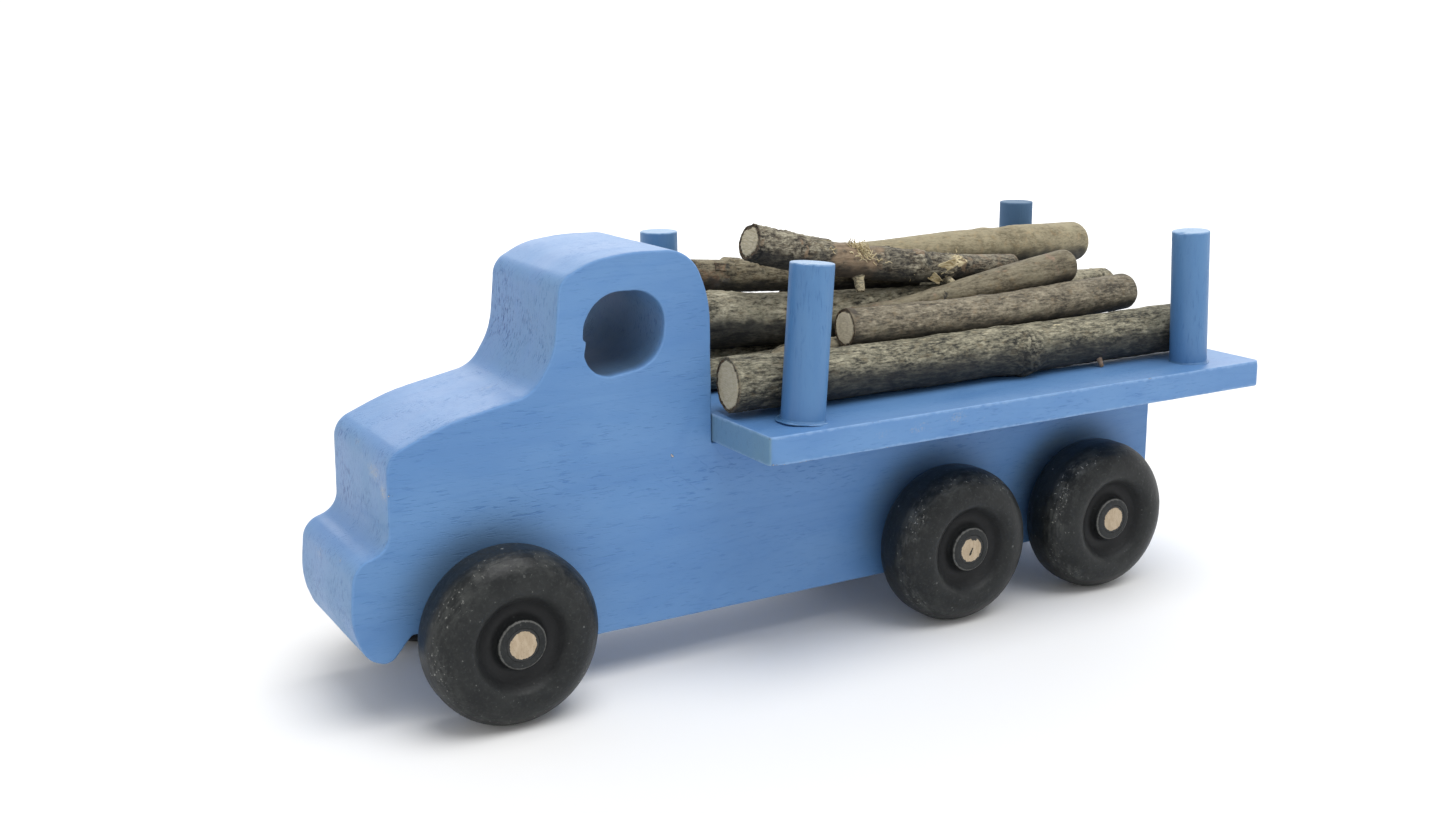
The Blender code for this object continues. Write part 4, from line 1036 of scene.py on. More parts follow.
def grow(name, line, radii, look, seed, around=104, step=0.55, slant=0.0, rough=1.0, warty=0.0, furrow=1.0, lumps=1.0,
         warts=60, wart_size=0.7, wart_height=0.22, bark_mm=1.0, ends=(0.25, 0.25), marks=(), zones=None, lift=0.0, saw=1.0, wave=0.35,
         skew=0.0, dirt_and_shade=0.55, rim_colour=1.0):
    """One branch as a closed mesh: furrowed bark about its axis, two sawn ends.

    line and radii are the axis points and radii. rough scales all relief, warty adds
    scaly knobs, furrow and lumps the lengthways ridges and the soft unevenness.
    marks are placed features: dicts with s (mm from the front), a (degrees about the
    axis, 0 toward +X and 90 up), ls and la (sizes along and across), and any of
    h (height), smooth (0 to 1, takes relief away) and the masks in MARKS. zones is a function of
    (s, angle, length) that returns scales (rough, warty) by place and masks. skew turns
    the front cut toward +X by that many mm at the rim; dirt_and_shade darkens the underside, as dirt and as painted
    shade."""
    seg = np.linalg.norm(np.diff(line, axis=0), axis=1)
    arc = np.concatenate([[0], np.cumsum(seg)])
    L = arc[-1]
    near = np.array([0, 0.07, 0.16, 0.28, 0.44, 0.66, 0.92])
    s = np.concatenate([near, np.linspace(1.3, L - 1.3, max(3, int((L - 2.6) / step))), (L - near)[::-1]])
    P = np.stack([np.interp(s, arc, line[:, k]) for k in range(3)], 1)
    # smooth the piecewise axis for its direction
    ahead = np.gradient(P, s, axis=0)
    ahead /= np.linalg.norm(ahead, axis=1, keepdims=True)
    across = np.cross(ahead, [0, 0, 1.0])
    if np.abs(ahead[:, 2]).max() > 0.9:
        across = np.cross(ahead, [0, 1.0, 0])
    across /= np.linalg.norm(across, axis=1, keepdims=True)
    up = np.cross(across, ahead)
    R = np.interp(s, arc, radii)
    angle = np.arange(around) * 2 * math.pi / around
    S, A = (m.ravel() for m in np.meshgrid(s, angle, indexing="ij"))
    RR = np.repeat(R, around)
    rng = np.random.default_rng(seed)
    q = np.stack([RR * np.cos(A), RR * np.sin(A), S], 1) + rng.uniform(0, 400, 3)

    rough_here, warty_here = np.full(len(S), rough), np.full(len(S), warty)
    masks = {k: np.zeros(len(S)) for k in MARKS}
    extra = np.zeros(len(S))
    if zones is not None:
        scale_r, scale_w, found = zones(S, A, L, q)
        rough_here, warty_here = rough_here * scale_r, warty_here * scale_w
        for key, value in found.items():
            if key == "h":
                extra += value
            else:
                masks[key] = np.maximum(masks[key], value)
    # placed features, their outlines broken up by noise
    ragged = fractal(q / 2.1, seed + 71, 2)
    for m in marks:
        da = np.angle(np.exp(1j * (A - math.radians(m["a"])))) * RR
        ds = S - m["s"]
        g = np.exp(-((ds / m["ls"]) ** 2) - ((da / m["la"]) ** 2))
        broken = smooth(g + 0.22 * ragged * (g > 0.02), 0.30, 0.62)
        if "h" in m:
            extra += m["h"] * g * (1 + 0.3 * ragged)
        if "pit" in m:
            extra -= m["pit"] * broken
        if "smooth" in m:
            rough_here = rough_here * (1 - m["smooth"] * broken)
            warty_here = warty_here * (1 - m["smooth"] * broken)
        if "rough" in m:
            warty_here = warty_here + m["rough"] * g
        for key in MARKS:
            if key in m:
                masks[key] = np.maximum(masks[key], m[key] * broken)

    # relief: out-of-round section, lengthways furrows, knobs, grit
    warp = 1.3 * np.stack([noise(q / 6.0, seed + 1), noise(q / 6.0, seed + 2), 2.5 * noise(q / 6.0, seed + 3)], 1)
    qq = q + warp
    big = wave * noise(np.stack([RR * np.cos(A) / 9, RR * np.sin(A) / 9, S / 26], 1) + seed, seed + 4)
    f1 = 1 - 2.2 * np.abs(noise(qq * [1 / 1.75, 1 / 1.75, 1 / 9.0], seed + 5))
    f2 = 1 - 2.2 * np.abs(noise(qq * [1 / 0.95, 1 / 0.95, 1 / 4.2], seed + 6))
    knob = fractal(qq / 1.55, seed + 7, 3, 0.55)
    grit = fractal(q / 0.75, seed + 8, 2)
    soft = fractal(qq * [1 / 4.2, 1 / 4.2, 1 / 6.0], seed + 9, 2)
    ridge = 0.62 * f1 + 0.38 * f2
    d = big + rough_here * (0.20 * furrow * (ridge - 0.35) + 0.16 * lumps * soft + 0.055 * grit) + warty_here * (0.42 * knob + 0.10 * grit)
    # lenticels and warts
    if warts:
        ws = rng.uniform(2, L - 2, warts)
        wa = rng.uniform(0, 2 * math.pi, warts)
        wr = wart_size * rng.uniform(0.6, 1.4, warts)
        wart = np.zeros(len(S))
        for k in range(warts):
            close = np.abs(S - ws[k]) < 3 * wr[k]
            da = np.angle(np.exp(1j * (A[close] - wa[k]))) * RR[close]
            bump_k = np.exp(-(((S[close] - ws[k]) / wr[k]) ** 2) - ((da / (wr[k] * 1.5)) ** 2))
            wart[close] = np.maximum(wart[close], bump_k)
        d += wart_height * wart * np.clip(rough_here + warty_here, 0.15, 1)
    else:
        wart = 0
    tone = np.clip(0.46 + (0.16 + 0.20 * furrow) * np.clip(rough_here, 0, 1.2) * (ridge - 0.25) + 0.35 * warty_here * knob + 0.18 * soft + 0.35 * wart * np.clip(rough_here, 0.3, 1), 0, 1.1)
    # painted light and shade: on branches longer than about 15 mm the bark's tone is raised on the upper side and
    # lowered below
    long_one = smooth(np.full(len(S), L), 15, 30)
    tone = tone + 0.12 * np.sin(A) * long_one - lift
    # the underside is darkened too, by the dark-patch mask: dirt and painted shade
    under = smooth(-np.sin(A) + 0.28 * fractal(q / 5.0, seed + 10, 2), -0.25, 0.60)
    masks["soot"] = np.maximum(masks["soot"], dirt_and_shade * under * long_one)
    radius = RR + d - 0.08 + extra
    for distance, ease in ((S, ends[0]), (L - S, ends[1])):
        t = np.clip(distance, 0, ease)
        radius -= np.where(distance < ease, ease - np.sqrt(np.maximum(ease**2 - (ease - t) ** 2, 0)), 0)
    radius = np.maximum(radius, 0.25)
    def cut_shift(f, a):
        return slant * (0.5 + 0.5 * f * np.sin(a)) + abs(skew) + skew * f * np.cos(a)

    shift = cut_shift(1.0, A) * np.clip(1 - S / (L * 0.45 if slant > L * 0.3 else max(3 * (slant + 2 * abs(skew)), 1)), 0, 1)
    rows = len(s)
    rep = lambda v: np.repeat(v, around, axis=0)
    side = rep(P) + rep(ahead) * shift[:, None] + radius[:, None] * (np.cos(A)[:, None] * rep(across) + np.sin(A)[:, None] * rep(up))
    radius_rows = radius.reshape(rows, around)

    def cap(row, sign, ease):
        """Rows of a sawn end from the bark's edge to the middle; sign -1 at the front."""
        rim = radius_rows[row]
        mean = rim.mean()
        wood = max(0.35, 1 - (bark_mm + ease * 0.12) / mean)
        turn = np.stack([np.cos(angle), np.sin(angle), np.full(around, float(seed % 31) + sign)], 1)
        border = wood + (1 - wood) * (0.34 * fractal(turn * 1.3, seed + 83, 2) + 0.30 * noise(turn * 4.5, seed + 84))
        border = np.clip(border, 0.3, 0.97)
        fs = list(np.linspace(0.988, max(0.34, 2 * wood - 1.04), 9)) 
        fs += list(np.linspace(fs[-1] - 0.05, 0.07, max(4, int(mean / 0.55))))
        made, cut, torn, place, level = [], [], [], [], []
        for f in fs:
            uv = np.stack([f * rim * np.cos(angle), f * rim * np.sin(angle)], 1)
            spot = np.concatenate([uv, np.full((around, 1), 7.0 * sign)], 1) + seed
            broken = fractal(spot / 1.0, seed + 81, 2)
            is_wood = smooth(border - f, -0.018, 0.018)
            turned = spot[:, 0] * math.cos(0.6 + seed) + spot[:, 1] * math.sin(0.6 + seed)
            face = saw * (0.035 * np.sin(turned * 5.2) + 0.06 * broken)
            barky = 0.06 + 0.50 * smooth(broken, -0.25, 0.65) * min(1.0, mean / 5)
            groove = 0.16 * np.exp(-(((border - f + 0.02) / 0.022) ** 2))
            sink = is_wood * face + (1 - is_wood) * barky + groove
            tilt = cut_shift(f, angle) if sign < 0 else 0.0
            along_by = tilt - sign * sink
            made.append(P[row] + ahead[row] * np.reshape(along_by, (-1, 1)) + uv[:, :1] * across[row] + uv[:, 1:] * up[row])
            cut.append(is_wood)
            torn.append((1 - is_wood) * rim_colour)
            place.append(np.concatenate([uv, np.full((around, 1), float(seed % 17))], 1))
            level.append(0.30 + 0.25 * broken)
        centre = P[row] + ahead[row] * (cut_shift(0.0, 0.0) if sign < 0 else 0.0)
        return made, cut, torn, place, level, centre

    first = cap(0, -1, ends[0])
    last = cap(rows - 1, 1, ends[1])
    zero = np.zeros(around)
    layers = [*first[0][::-1]]
    points = np.concatenate(layers + [side] + last[0] + [first[5][None], last[5][None]])
    n_first, n_last = len(first[0]), len(last[0])

    def whole(front, middle, back, ends_value):
        return np.concatenate(front[::-1] + [middle] + back + [np.asarray(ends_value)])

    cut = whole(first[1], np.zeros(len(S)), last[1], [1.0, 1.0])
    edge_rows = np.maximum(np.exp(-((S / 0.5) ** 2)), np.exp(-(((L - S) / 0.5) ** 2)))
    torn = whole(first[2], 0.55 * rim_colour * edge_rows, last[2], [0.0, 0.0])
    tone = whole(first[4], tone, last[4], [0.35, 0.35])
    place = np.concatenate(first[3][::-1] + [np.zeros((len(S), 3))] + last[3] + [np.zeros((2, 3))])
    attributes = {"cut": cut, "rim": torn, "tone": tone}
    for key in MARKS:
        attributes[key] = whole([zero] * n_first, masks[key], [zero] * n_last, [0.0, 0.0])
    total = (n_first + rows + n_last) * around
    quads = strips(n_first + rows + n_last, around)
    k = np.arange(around)
    low = np.stack([np.full(around, total), (k + 1) % around, k], 1)
    top = total - around
    high = np.stack([np.full(around, total + 1), top + k, top + (k + 1) % around], 1)
    return mesh(name, points, quads, np.concatenate([low, high]), look, attributes, {"cap": place})


def branch_point(line, radii, s, degrees, out=0.0):
    """A point on a branch's surface, with its directions ahead, outward and round."""
    seg = np.linalg.norm(np.diff(line, axis=0), axis=1)
    arc = np.concatenate([[0], np.cumsum(seg)])
    P = np.array([np.interp(s, arc, line[:, k]) for k in range(3)])
    Q = np.array([np.interp(s + 0.5, arc, line[:, k]) for k in range(3)])
    if s + 0.5 > arc[-1]:
        P, Q = np.array([np.interp(s - 0.5, arc, line[:, k]) for k in range(3)]), P
    ahead = (Q - P) / np.linalg.norm(Q - P)
    across = np.cross(ahead, [0, 0, 1.0])
    across /= np.linalg.norm(across)
    up = np.cross(across, ahead)
    a = math.radians(degrees)
    outward = math.cos(a) * across + math.sin(a) * up
    round_ = -math.sin(a) * across + math.cos(a) * up
    R = float(np.interp(s, arc, radii))
    return P + outward * (R + out), ahead, outward, round_


def stub(name, body, line, radii, look, s, degrees, length, size, tip, lean=(0.0, 0.0), seed=1, **more):
    """A short broken side twig, sunk 1.5 mm into the branch."""
    base, ahead, outward, round_ = branch_point(line, radii, s, degrees, -1.5)
    t = np.linspace(0, 1, 14)[:, None]
    way = outward + ahead * lean[0] + round_ * lean[1]
    way /= np.linalg.norm(way)
    axis = base + way * (length + 1.5) * t + ahead * (0.12 * length * lean[0]) * t * t
    sizes = size + (tip - size) * np.linspace(0, 1, 14)
    sizes[:4] += np.array([0.55, 0.38, 0.2, 0.06]) * size
    cover = more.pop("paint", {})
    piece = grow(name, axis, sizes, look, seed, around=40, step=0.35, warts=0, bark_mm=0.3, wave=0.12, zones=lambda S, A, L, q: (1 + 0 * S, 0 * S, {k: np.full(len(S), v) for k, v in cover.items()}), **more)
    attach(piece, body)
    return piece


def fibres(name, body, line, radii, look, tufts, seed, bast=1.0):
    """Torn bast fibres: each tuft is (s, angle, count, length, spread); every fibre is a thin closed tube."""
    rng = np.random.default_rng(seed)
    sides, rings = 5, 12
    points, quads, tris, total = [], [], [], 0
    for s, degrees, count, length, spread in tufts:
        for _ in range(count):
            base, ahead, outward, round_ = branch_point(line, radii, s + rng.normal(0, spread), degrees + rng.normal(0, spread * 9), -0.25)
            way = outward * rng.uniform(0.1, 0.7) + ahead * rng.normal(0, 0.9) + round_ * rng.normal(0, 0.8)
            way /= np.linalg.norm(way)
            size = length * rng.uniform(0.5, 1.15)
            t = np.linspace(0, 1, rings)
            curl = rng.normal(0, 1, 3)
            kink = rng.normal(0, 1, 3)
            path = base + way * size * t[:, None] + 0.30 * size * np.outer(t**2, curl) * 0.6 + 0.10 * size * np.outer(np.sin(t * rng.uniform(4, 9)) * t, kink)
            # keep the fibre outside the branch
            centre = base - outward * (np.interp(s, [0, 1], [0, 0]) + np.linalg.norm(base - branch_point(line, radii, s, degrees, -100)[0]) * 0)
            below = (path - base) @ outward
            path += np.outer(np.clip(-below, 0, None) * 0.8, outward)
            width = rng.uniform(0.10, 0.20) * (1 - 0.65 * t) + 0.02
            flat = rng.uniform(0.45, 1.0)
            tangent = np.gradient(path, axis=0)
            tangent /= np.linalg.norm(tangent, axis=1, keepdims=True)
            u = np.cross(tangent, outward + 0.01)
            u /= np.maximum(np.linalg.norm(u, axis=1, keepdims=True), 1e-6)
            v = np.cross(tangent, u)
            for k in range(rings):
                for j in range(sides):
                    a = 2 * math.pi * j / sides
                    points.append(path[k] + width[k] * (math.cos(a) * u[k] * 1.6 + math.sin(a) * v[k] * flat))
            quads.append(strips(rings, sides) + total)
            tris += [(total, total + k + 1, total + k) for k in range(1, sides - 1)]
            last = total + (rings - 1) * sides
            tris += [(last, last + k, last + k + 1) for k in range(1, sides - 1)]
            total += rings * sides
    n = len(points)
    attributes = {k: np.zeros(n) for k in ("cut", "rim", "ruddy", "lichen", "soot")}
    attributes["tone"] = np.full(n, 0.85)
    attributes["bast"] = np.full(n, bast)
    piece = mesh(name, np.array(points), np.concatenate(quads), tris, look, attributes, {"cap": np.zeros((n, 3))})
    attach(piece, body)


def flake(name, body, line, radii, look, s, degrees, length, width, rise, curl, seed, thick=0.35, turn=0.0, masks=None):
    """A curled scrap of bark, a closed sheet that is rooted on the branch and lifts off it."""
    rng = np.random.default_rng(seed)
    base, ahead, outward, round_ = branch_point(line, radii, s, degrees, -0.45)
    c, sn = math.cos(math.radians(turn)), math.sin(math.radians(turn))
    along, wide = ahead * c + round_ * sn, -ahead * sn + round_ * c
    nu, nv = 22, 16
    u, v = np.meshgrid(np.linspace(0, 1, nu), np.linspace(-0.5, 0.5, nv), indexing="ij")
    u, v = u.ravel(), v.ravel()
    spot = np.stack([u * 4, v * 4, np.full(len(u), seed * 1.3)], 1)
    ragged = 1 + 0.35 * noise(spot, seed) * u
    taper = (1 - 0.45 * u**2) * ragged
    lift = rise * u**1.5 + curl * (v * 2) ** 2 * (0.25 + u) + 0.22 * noise(spot * 1.5, seed + 1)
    middle = base + np.outer(u * length * (1 + 0.12 * noise(spot + 3, seed + 2)), along) + np.outer(v * width * taper, wide) + np.outer(lift, outward)
    grid = middle.reshape(nu, nv, 3)
    du, dv = np.gradient(grid, axis=0), np.gradient(grid, axis=1)
    n = np.cross(du, dv)
    n /= np.maximum(np.linalg.norm(n, axis=2, keepdims=True), 1e-9)
    n = n.reshape(-1, 3)
    t = thick * (1 - 0.5 * u)[:, None]
    points = np.concatenate([middle + n * t / 2, middle - n * t / 2])
    i, j = np.meshgrid(np.arange(nu - 1), np.arange(nv - 1), indexing="ij")
    a = (i * nv + j).ravel()
    top = np.stack([a, a + nv, a + nv + 1, a + 1], 1)
    N = nu * nv
    ring = list(range(0, nv - 1)) + [k * nv + nv - 1 for k in range(nu - 1)] + [(nu - 1) * nv + k for k in range(nv - 1, 0, -1)] + [k * nv for k in range(nu - 1, 0, -1)]
    ring = np.array(ring)
    nxt = np.roll(ring, -1)
    walls = np.stack([ring, nxt, nxt + N, ring + N], 1)
    quads = np.concatenate([top, top[:, ::-1] + N, walls])
    count = len(points)
    given = masks or {}
    attributes = {k: np.full(count, float(given.get(k, 0.0))) for k in ("cut", "rim", *MARKS)}
    attributes["tone"] = np.full(count, given.get("tone", 0.6))
    inner = np.concatenate([np.zeros(N), np.ones(N)])
    attributes["bast"] = np.maximum(attributes["bast"], inner * given.get("inner", 0.7))
    piece = mesh(name, points, quads, np.zeros((0, 3)), look, attributes, {"cap": np.zeros((count, 3))})
    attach(piece, body)


def upright(A):
    return 0.5 + 0.5 * np.sin(A)


def load():
    looks = {
        "grey": bark("bark_grey_olive", (0.042, 0.041, 0.034), (0.160, 0.150, 0.108), (0.44, 0.41, 0.30), wood=((0.45, 0.385, 0.26), (0.57, 0.505, 0.365)), contrast=1.1),
        "olive": bark("bark_olive_grey", (0.060, 0.056, 0.042), (0.245, 0.225, 0.162), (0.56, 0.52, 0.39), contrast=0.95),
        "tan": bark("bark_tan", (0.075, 0.066, 0.046), (0.215, 0.190, 0.132), (0.42, 0.38, 0.275), wood=((0.20, 0.170, 0.115), (0.34, 0.30, 0.21)), contrast=0.85),
        "mottled": bark("bark_mottled", (0.080, 0.070, 0.053), (0.190, 0.166, 0.120), (0.42, 0.375, 0.28), wood=((0.66, 0.56, 0.39), (0.82, 0.73, 0.54)), contrast=0.95, fine=0.8),
        "soft_brown": bark("bark_soft_brown", (0.170, 0.146, 0.092), (0.315, 0.275, 0.180), (0.46, 0.41, 0.285), contrast=0.55, fine=0.5),
        "rosy": bark("bark_rosy_grey", (0.080, 0.067, 0.045), (0.205, 0.180, 0.124), (0.40, 0.36, 0.26), red=(0.27, 0.175, 0.12), contrast=0.55, fine=0.55),
        "old": bark("bark_old_scaly", (0.042, 0.037, 0.030), (0.165, 0.146, 0.108), (0.44, 0.41, 0.31), wood=((0.42, 0.36, 0.24), (0.60, 0.54, 0.40)), red=(0.245, 0.172, 0.108), contrast=1.1),
        "torn": bark("bark_torn_brown", (0.050, 0.042, 0.029), (0.195, 0.168, 0.112), (0.44, 0.40, 0.285), red=(0.20, 0.12, 0.07), contrast=0.85),
    }

    def old_zones(S, A, L, q):
        """Scaly at the butt, peeled and tan past 26 mm, dark and smoother to the tip."""
        scaly = 1 - smooth(S + 3.5 * noise(q / 5.0, 611), 24, 30)
        ruddy = smooth(S + 3.0 * noise(q / 4.0, 612), 26, 31) * (1 - smooth(S + 5 * noise(q / 4.0, 613), 43, 53))
        calm = smooth(S, 76, 86)
        dark = smooth(S + 4 * noise(q / 4.0, 617), 46, 52) * (1 - smooth(S, 70, 80))
        found = {
            "ruddy": np.maximum(ruddy * 0.72, np.maximum(0.42 * calm, 0.30 * smooth(noise(q / 1.9, 618), 0.35, 0.6) * scaly)),
            "lichen": np.maximum(0.40 * scaly * smooth(noise(q / 3.0, 614), 0.0, 0.5), 0.30 * dark * smooth(np.sin(A), 0.2, 0.8) * smooth(noise(q / 2.0, 619), 0.0, 0.5)),
            # the dark-patch mask is heavier on the underside: dirt and painted shade
            "soot": np.maximum(0.55 * smooth(noise(q / 2.6, 615), 0.25, 0.6) * (1 - 0.5 * calm) * (1 - upright(A) * 0.8) * (1 - 0.6 * ruddy), 0.42 * dark * (1 - upright(A) * 0.7)),
            "h": -0.22 * ruddy + 0.22 * np.exp(-(((S - 27) / 1.6) ** 2)) * smooth(noise(q / 2.2, 616), -0.2, 0.5),
        }
        return 0.40 + 0.6 * scaly + 0.3 * (1 - ruddy) * (1 - scaly) - 0.25 * calm, 0.06 + 0.94 * scaly + 0.45 * dark, found

    def torn_zones(S, A, L, q):
        """The front end is split and torn open; bark comes back in a ragged edge."""
        at = S + 4.0 * noise(q / 3.0, 621) - 3.5 * np.sin(A)
        open_ = 1 - smooth(at, 8, 13)
        lip = np.exp(-(((at - 11.5) / 1.5) ** 2))
        pale = smooth(np.sin(A), 0.15, 0.75)
        return 1 - 0.5 * open_, 0.3 + 0 * S, {
            "ruddy": 0.55 * open_ * (1 - 0.7 * pale), "bast": 0.40 * pale * (0.4 + 0.6 * open_) * smooth(noise(q * [1 / 1.5, 1 / 1.5, 1 / 6.0], 623), -0.1, 0.5),
            "soot": 0.8 * lip * smooth(noise(q / 1.6, 622), -0.2, 0.4), "h": -0.5 * open_ + 0.45 * lip}

    def middle_zones(S, A, L, q):
        """Pale ridges above; darker below, as dirt and as painted shade; scattered pale specks on the flanks."""
        wander = 0.34 * fractal(q / 5.0, 631, 4, 0.6)
        low = 1 - smooth(np.sin(A) + wander, -0.20, 0.58)
        band = np.exp(-(((np.sin(A) + wander - 0.15) / 0.25) ** 2))
        tip = smooth(S, L - 26, L - 10)
        return 1 + 0 * S, 0.15 + 0.45 * low, {"soot": 0.95 * low * (1 - tip), "lichen": 0.85 * smooth(noise(q / 1.5, 632), 0.28, 0.52) * (0.22 * low + 0.9 * band) + 0.30 * tip}

    def mottled_zones(S, A, L, q):
        tip = smooth(S, L - 18, L - 6)
        # the dark-patch mask is heavier on the underside: dirt and painted shade
        return 1 + 0 * S, 0.16 + 0.40 * tip, {"lichen": 0.62 * smooth(noise(q / 1.2, 641), 0.25, 0.55) * (0.45 + 0.55 * upright(A)) * (1 - 0.4 * tip), "bast": 0.34 * tip * smooth(noise(q / 1.9, 642), 0.0, 0.5), "ruddy": 0.30 * smooth(noise(q / 3.5, 644), 0.1, 0.5), "soot": 0.25 * smooth(noise(q / 2.4, 643), 0.25, 0.6) * (1 - upright(A))}

    def first_zones(S, A, L, q):
        # low is the underside, darkened by the dark-patch mask: dirt and painted shade
        low = 1 - smooth(np.sin(A) + 0.25 * noise(q / 6.0, 651) + 0.20 * fractal(q / 2.0, 654, 3, 0.6), -0.20, 0.78)
        butt = 1 - smooth(S + 3 * noise(q / 5.0, 653), 13, 22)
        return 1 + 0.7 * butt, 0.10 + 0.65 * butt, {"bast": 0.42 * smooth(noise(q * [1 / 1.3, 1 / 1.3, 1 / 3.5], 652), 0.36, 0.62) * smooth(np.sin(A), 0.0, 0.5), "lichen": 0.50 * butt * smooth(noise(q / 1.1, 655), 0.0, 0.45), "soot": 0.78 * low * (1 - 0.85 * butt)}

    def smooth_zones(S, A, L, q):
        return 1 + 0 * S, 0 * S, {"lichen": 0.34 * smooth(noise(q / 0.9, 661), 0.42, 0.62) * smooth(np.sin(A), -0.3, 0.4), "ruddy": 0.30 * smooth(noise(q * [1 / 4, 1 / 4, 1 / 12], 662), 0.0, 0.5) * upright(A)}

    recipes = {
        "log_01_bottom_left": dict(
            look="grey", rough=1.0, furrow=1.0, lumps=1.1, bark_mm=0.7, ends=(0.5, 0.5), warts=40, zones=first_zones, skew=-0.7, dirt_and_shade=0.7,
            marks=[
                dict(s=110.5, a=0, ls=4.5, la=7.5, h=0.75, lichen=0.58, rough=1.6), dict(s=108.5, a=-34, ls=6.0, la=5.5, h=1.35, lichen=0.50, rough=1.4), dict(s=122, a=-12, ls=8.0, la=5.0, soot=0.55, h=-0.25), dict(s=97, a=-16, ls=7.0, la=4.0, soot=0.35, h=-0.15),
                dict(s=108, a=34, ls=4.5, la=4.5, h=0.35, lichen=0.48, rough=0.9), dict(s=123, a=62, ls=3.5, la=0.9, bast=0.50, h=0.15), dict(s=125, a=52, ls=0.8, la=2.2, bast=0.45),
                dict(s=141, a=-28, ls=3.0, la=3.0, h=0.5, ruddy=0.5), dict(s=164, a=50, ls=14.0, la=6.0, lichen=0.30), dict(s=103, a=88, ls=4.0, la=5.0, h=0.5), dict(s=78, a=85, ls=7.0, la=5.0, h=0.3),
                dict(s=20, a=70, ls=9.0, la=4.0, h=-0.3), dict(s=170, a=75, ls=5.0, la=3.0, bast=0.35), dict(s=58, a=180, ls=4.0, la=4.0, h=0.9, lichen=0.4),
                dict(s=3, a=-40, ls=3.0, la=3.0, h=0.5, lichen=0.5, rough=0.8), dict(s=12, a=-20, ls=5.0, la=5.0, bast=0.36, rough=0.4),
            ]),
        "log_02_bottom_inner_left": dict(look="tan", rough=1.0, furrow=1.2, bark_mm=0.35, slant=19.0, warts=40, rim_colour=0.15, marks=[dict(s=30, a=70, ls=6, la=4, bast=0.35)]),
        "log_03_bottom_middle": dict(look="grey", around=72, step=0.9, warts=30),
        "log_04_bottom_inner_right": dict(look="olive", around=72, step=0.9, warts=30),
        "log_05_bottom_right": dict(
            look="mottled", around=96, step=0.65, warts=50, zones=mottled_zones,
            marks=[dict(s=60, a=170, ls=4, la=4, h=1.0, lichen=0.45), dict(s=110, a=150, ls=8, la=4, ruddy=0.6, smooth=0.6)]),
        "log_06_second_left": dict(
            look="mottled", rough=0.72, furrow=0.45, lumps=1.2, bark_mm=0.7, ends=(0.3, 3.0), warts=110, wart_size=0.55, wart_height=0.26, zones=mottled_zones, dirt_and_shade=0.62,
            marks=[
                dict(s=1.2, a=75, ls=2.0, la=3.2, h=0.35, soot=0.6, ruddy=0.5), dict(s=54, a=88, ls=2.5, la=2.5, h=0.45, bast=0.3), dict(s=96, a=80, ls=3.0, la=2.5, h=0.4),
                dict(s=20, a=60, ls=5.0, la=2.0, bast=0.35), dict(s=112, a=15, ls=6.0, la=4.0, h=0.35, rough=0.5, bast=0.35), dict(s=104, a=85, ls=5.0, la=4.0, h=0.3, bast=0.3),
            ]),
        "log_07_second_right": dict(look="grey", around=96, step=0.65, warts=50, marks=[dict(s=70, a=160, ls=4, la=3.5, h=0.9), dict(s=40, a=120, ls=7, la=3, ruddy=0.6)]),
        "log_08_second_middle": dict(
            look="olive", rough=1.05, furrow=1.0, bark_mm=1.1, ends=(0.6, 3.2), warts=130, wart_size=0.75, wart_height=0.3, zones=middle_zones, dirt_and_shade=0.9,
            marks=[dict(s=138, a=95, ls=4, la=4, h=0.5), dict(s=150, a=70, ls=7, la=5, lichen=0.35, h=0.25), dict(s=15, a=100, ls=8, la=4, bast=0.3), dict(s=7, a=84, ls=13, la=9, h=1.0), dict(s=12, a=60, ls=10, la=4, lichen=0.35)]),
        "log_09_tapered_left": dict(
            look="rosy", rough=0.36, furrow=0.6, lumps=1.3, bark_mm=0.5, ends=(0.3, 2.6), warts=80, wart_size=0.42, wart_height=0.18, zones=smooth_zones, dirt_and_shade=0.6,
            marks=[
                dict(s=33, a=60, ls=1.3, la=8.0, h=0.42), dict(s=34.6, a=34, ls=0.55, la=1.4, soot=0.85, pit=0.25), dict(s=33.6, a=12, ls=0.5, la=1.2, soot=0.85, pit=0.2),
                dict(s=30, a=70, ls=3.0, la=3.0, ruddy=0.4, h=0.2), dict(s=8, a=60, ls=9.0, la=6.0, ruddy=0.42, smooth=0.4), dict(s=80.5, a=60, ls=1.3, la=10.0, ruddy=0.55),
                dict(s=62, a=75, ls=9.0, la=3.0, ruddy=0.35), dict(s=79, a=15, ls=2.0, la=3.0, h=-0.2),
            ]),
        "log_10_upper_right": dict(
            look="torn", rough=0.8, furrow=0.8, bark_mm=0.7, ends=(0.5, 0.4), warts=50, zones=torn_zones, dirt_and_shade=0.8,
            marks=[
                dict(s=24, a=72, ls=0.8, la=1.6, h=0.25, soot=0.9), dict(s=26.2, a=60, ls=1.4, la=2.2, bast=0.6, smooth=0.6), dict(s=25, a=22, ls=0.8, la=1.4, soot=0.6),
                dict(s=8, a=-88, ls=14.0, la=8.0, h=1.0, soot=0.8), dict(s=34, a=30, ls=2.0, la=1.6, ruddy=0.4, soot=0.3), dict(s=14, a=88, ls=6.0, la=3.0, bast=0.45), dict(s=30, a=80, ls=5.0, la=3.5, bast=0.42),
            ]),
        "log_11_top_right": dict(
            look="soft_brown", rough=0.28, furrow=0.5, lumps=2.0, bark_mm=0.9, ends=(0.6, 3.6), warts=40, wart_size=0.8, wart_height=0.12, wave=0.45, dirt_and_shade=0.8, zones=smooth_zones,
            marks=[
                dict(s=60, a=92, ls=3.0, la=3.0, h=0.40), dict(s=76, a=78, ls=4.0, la=2.5, h=0.35), dict(s=92, a=20, ls=5.0, la=4.0, ruddy=0.25),
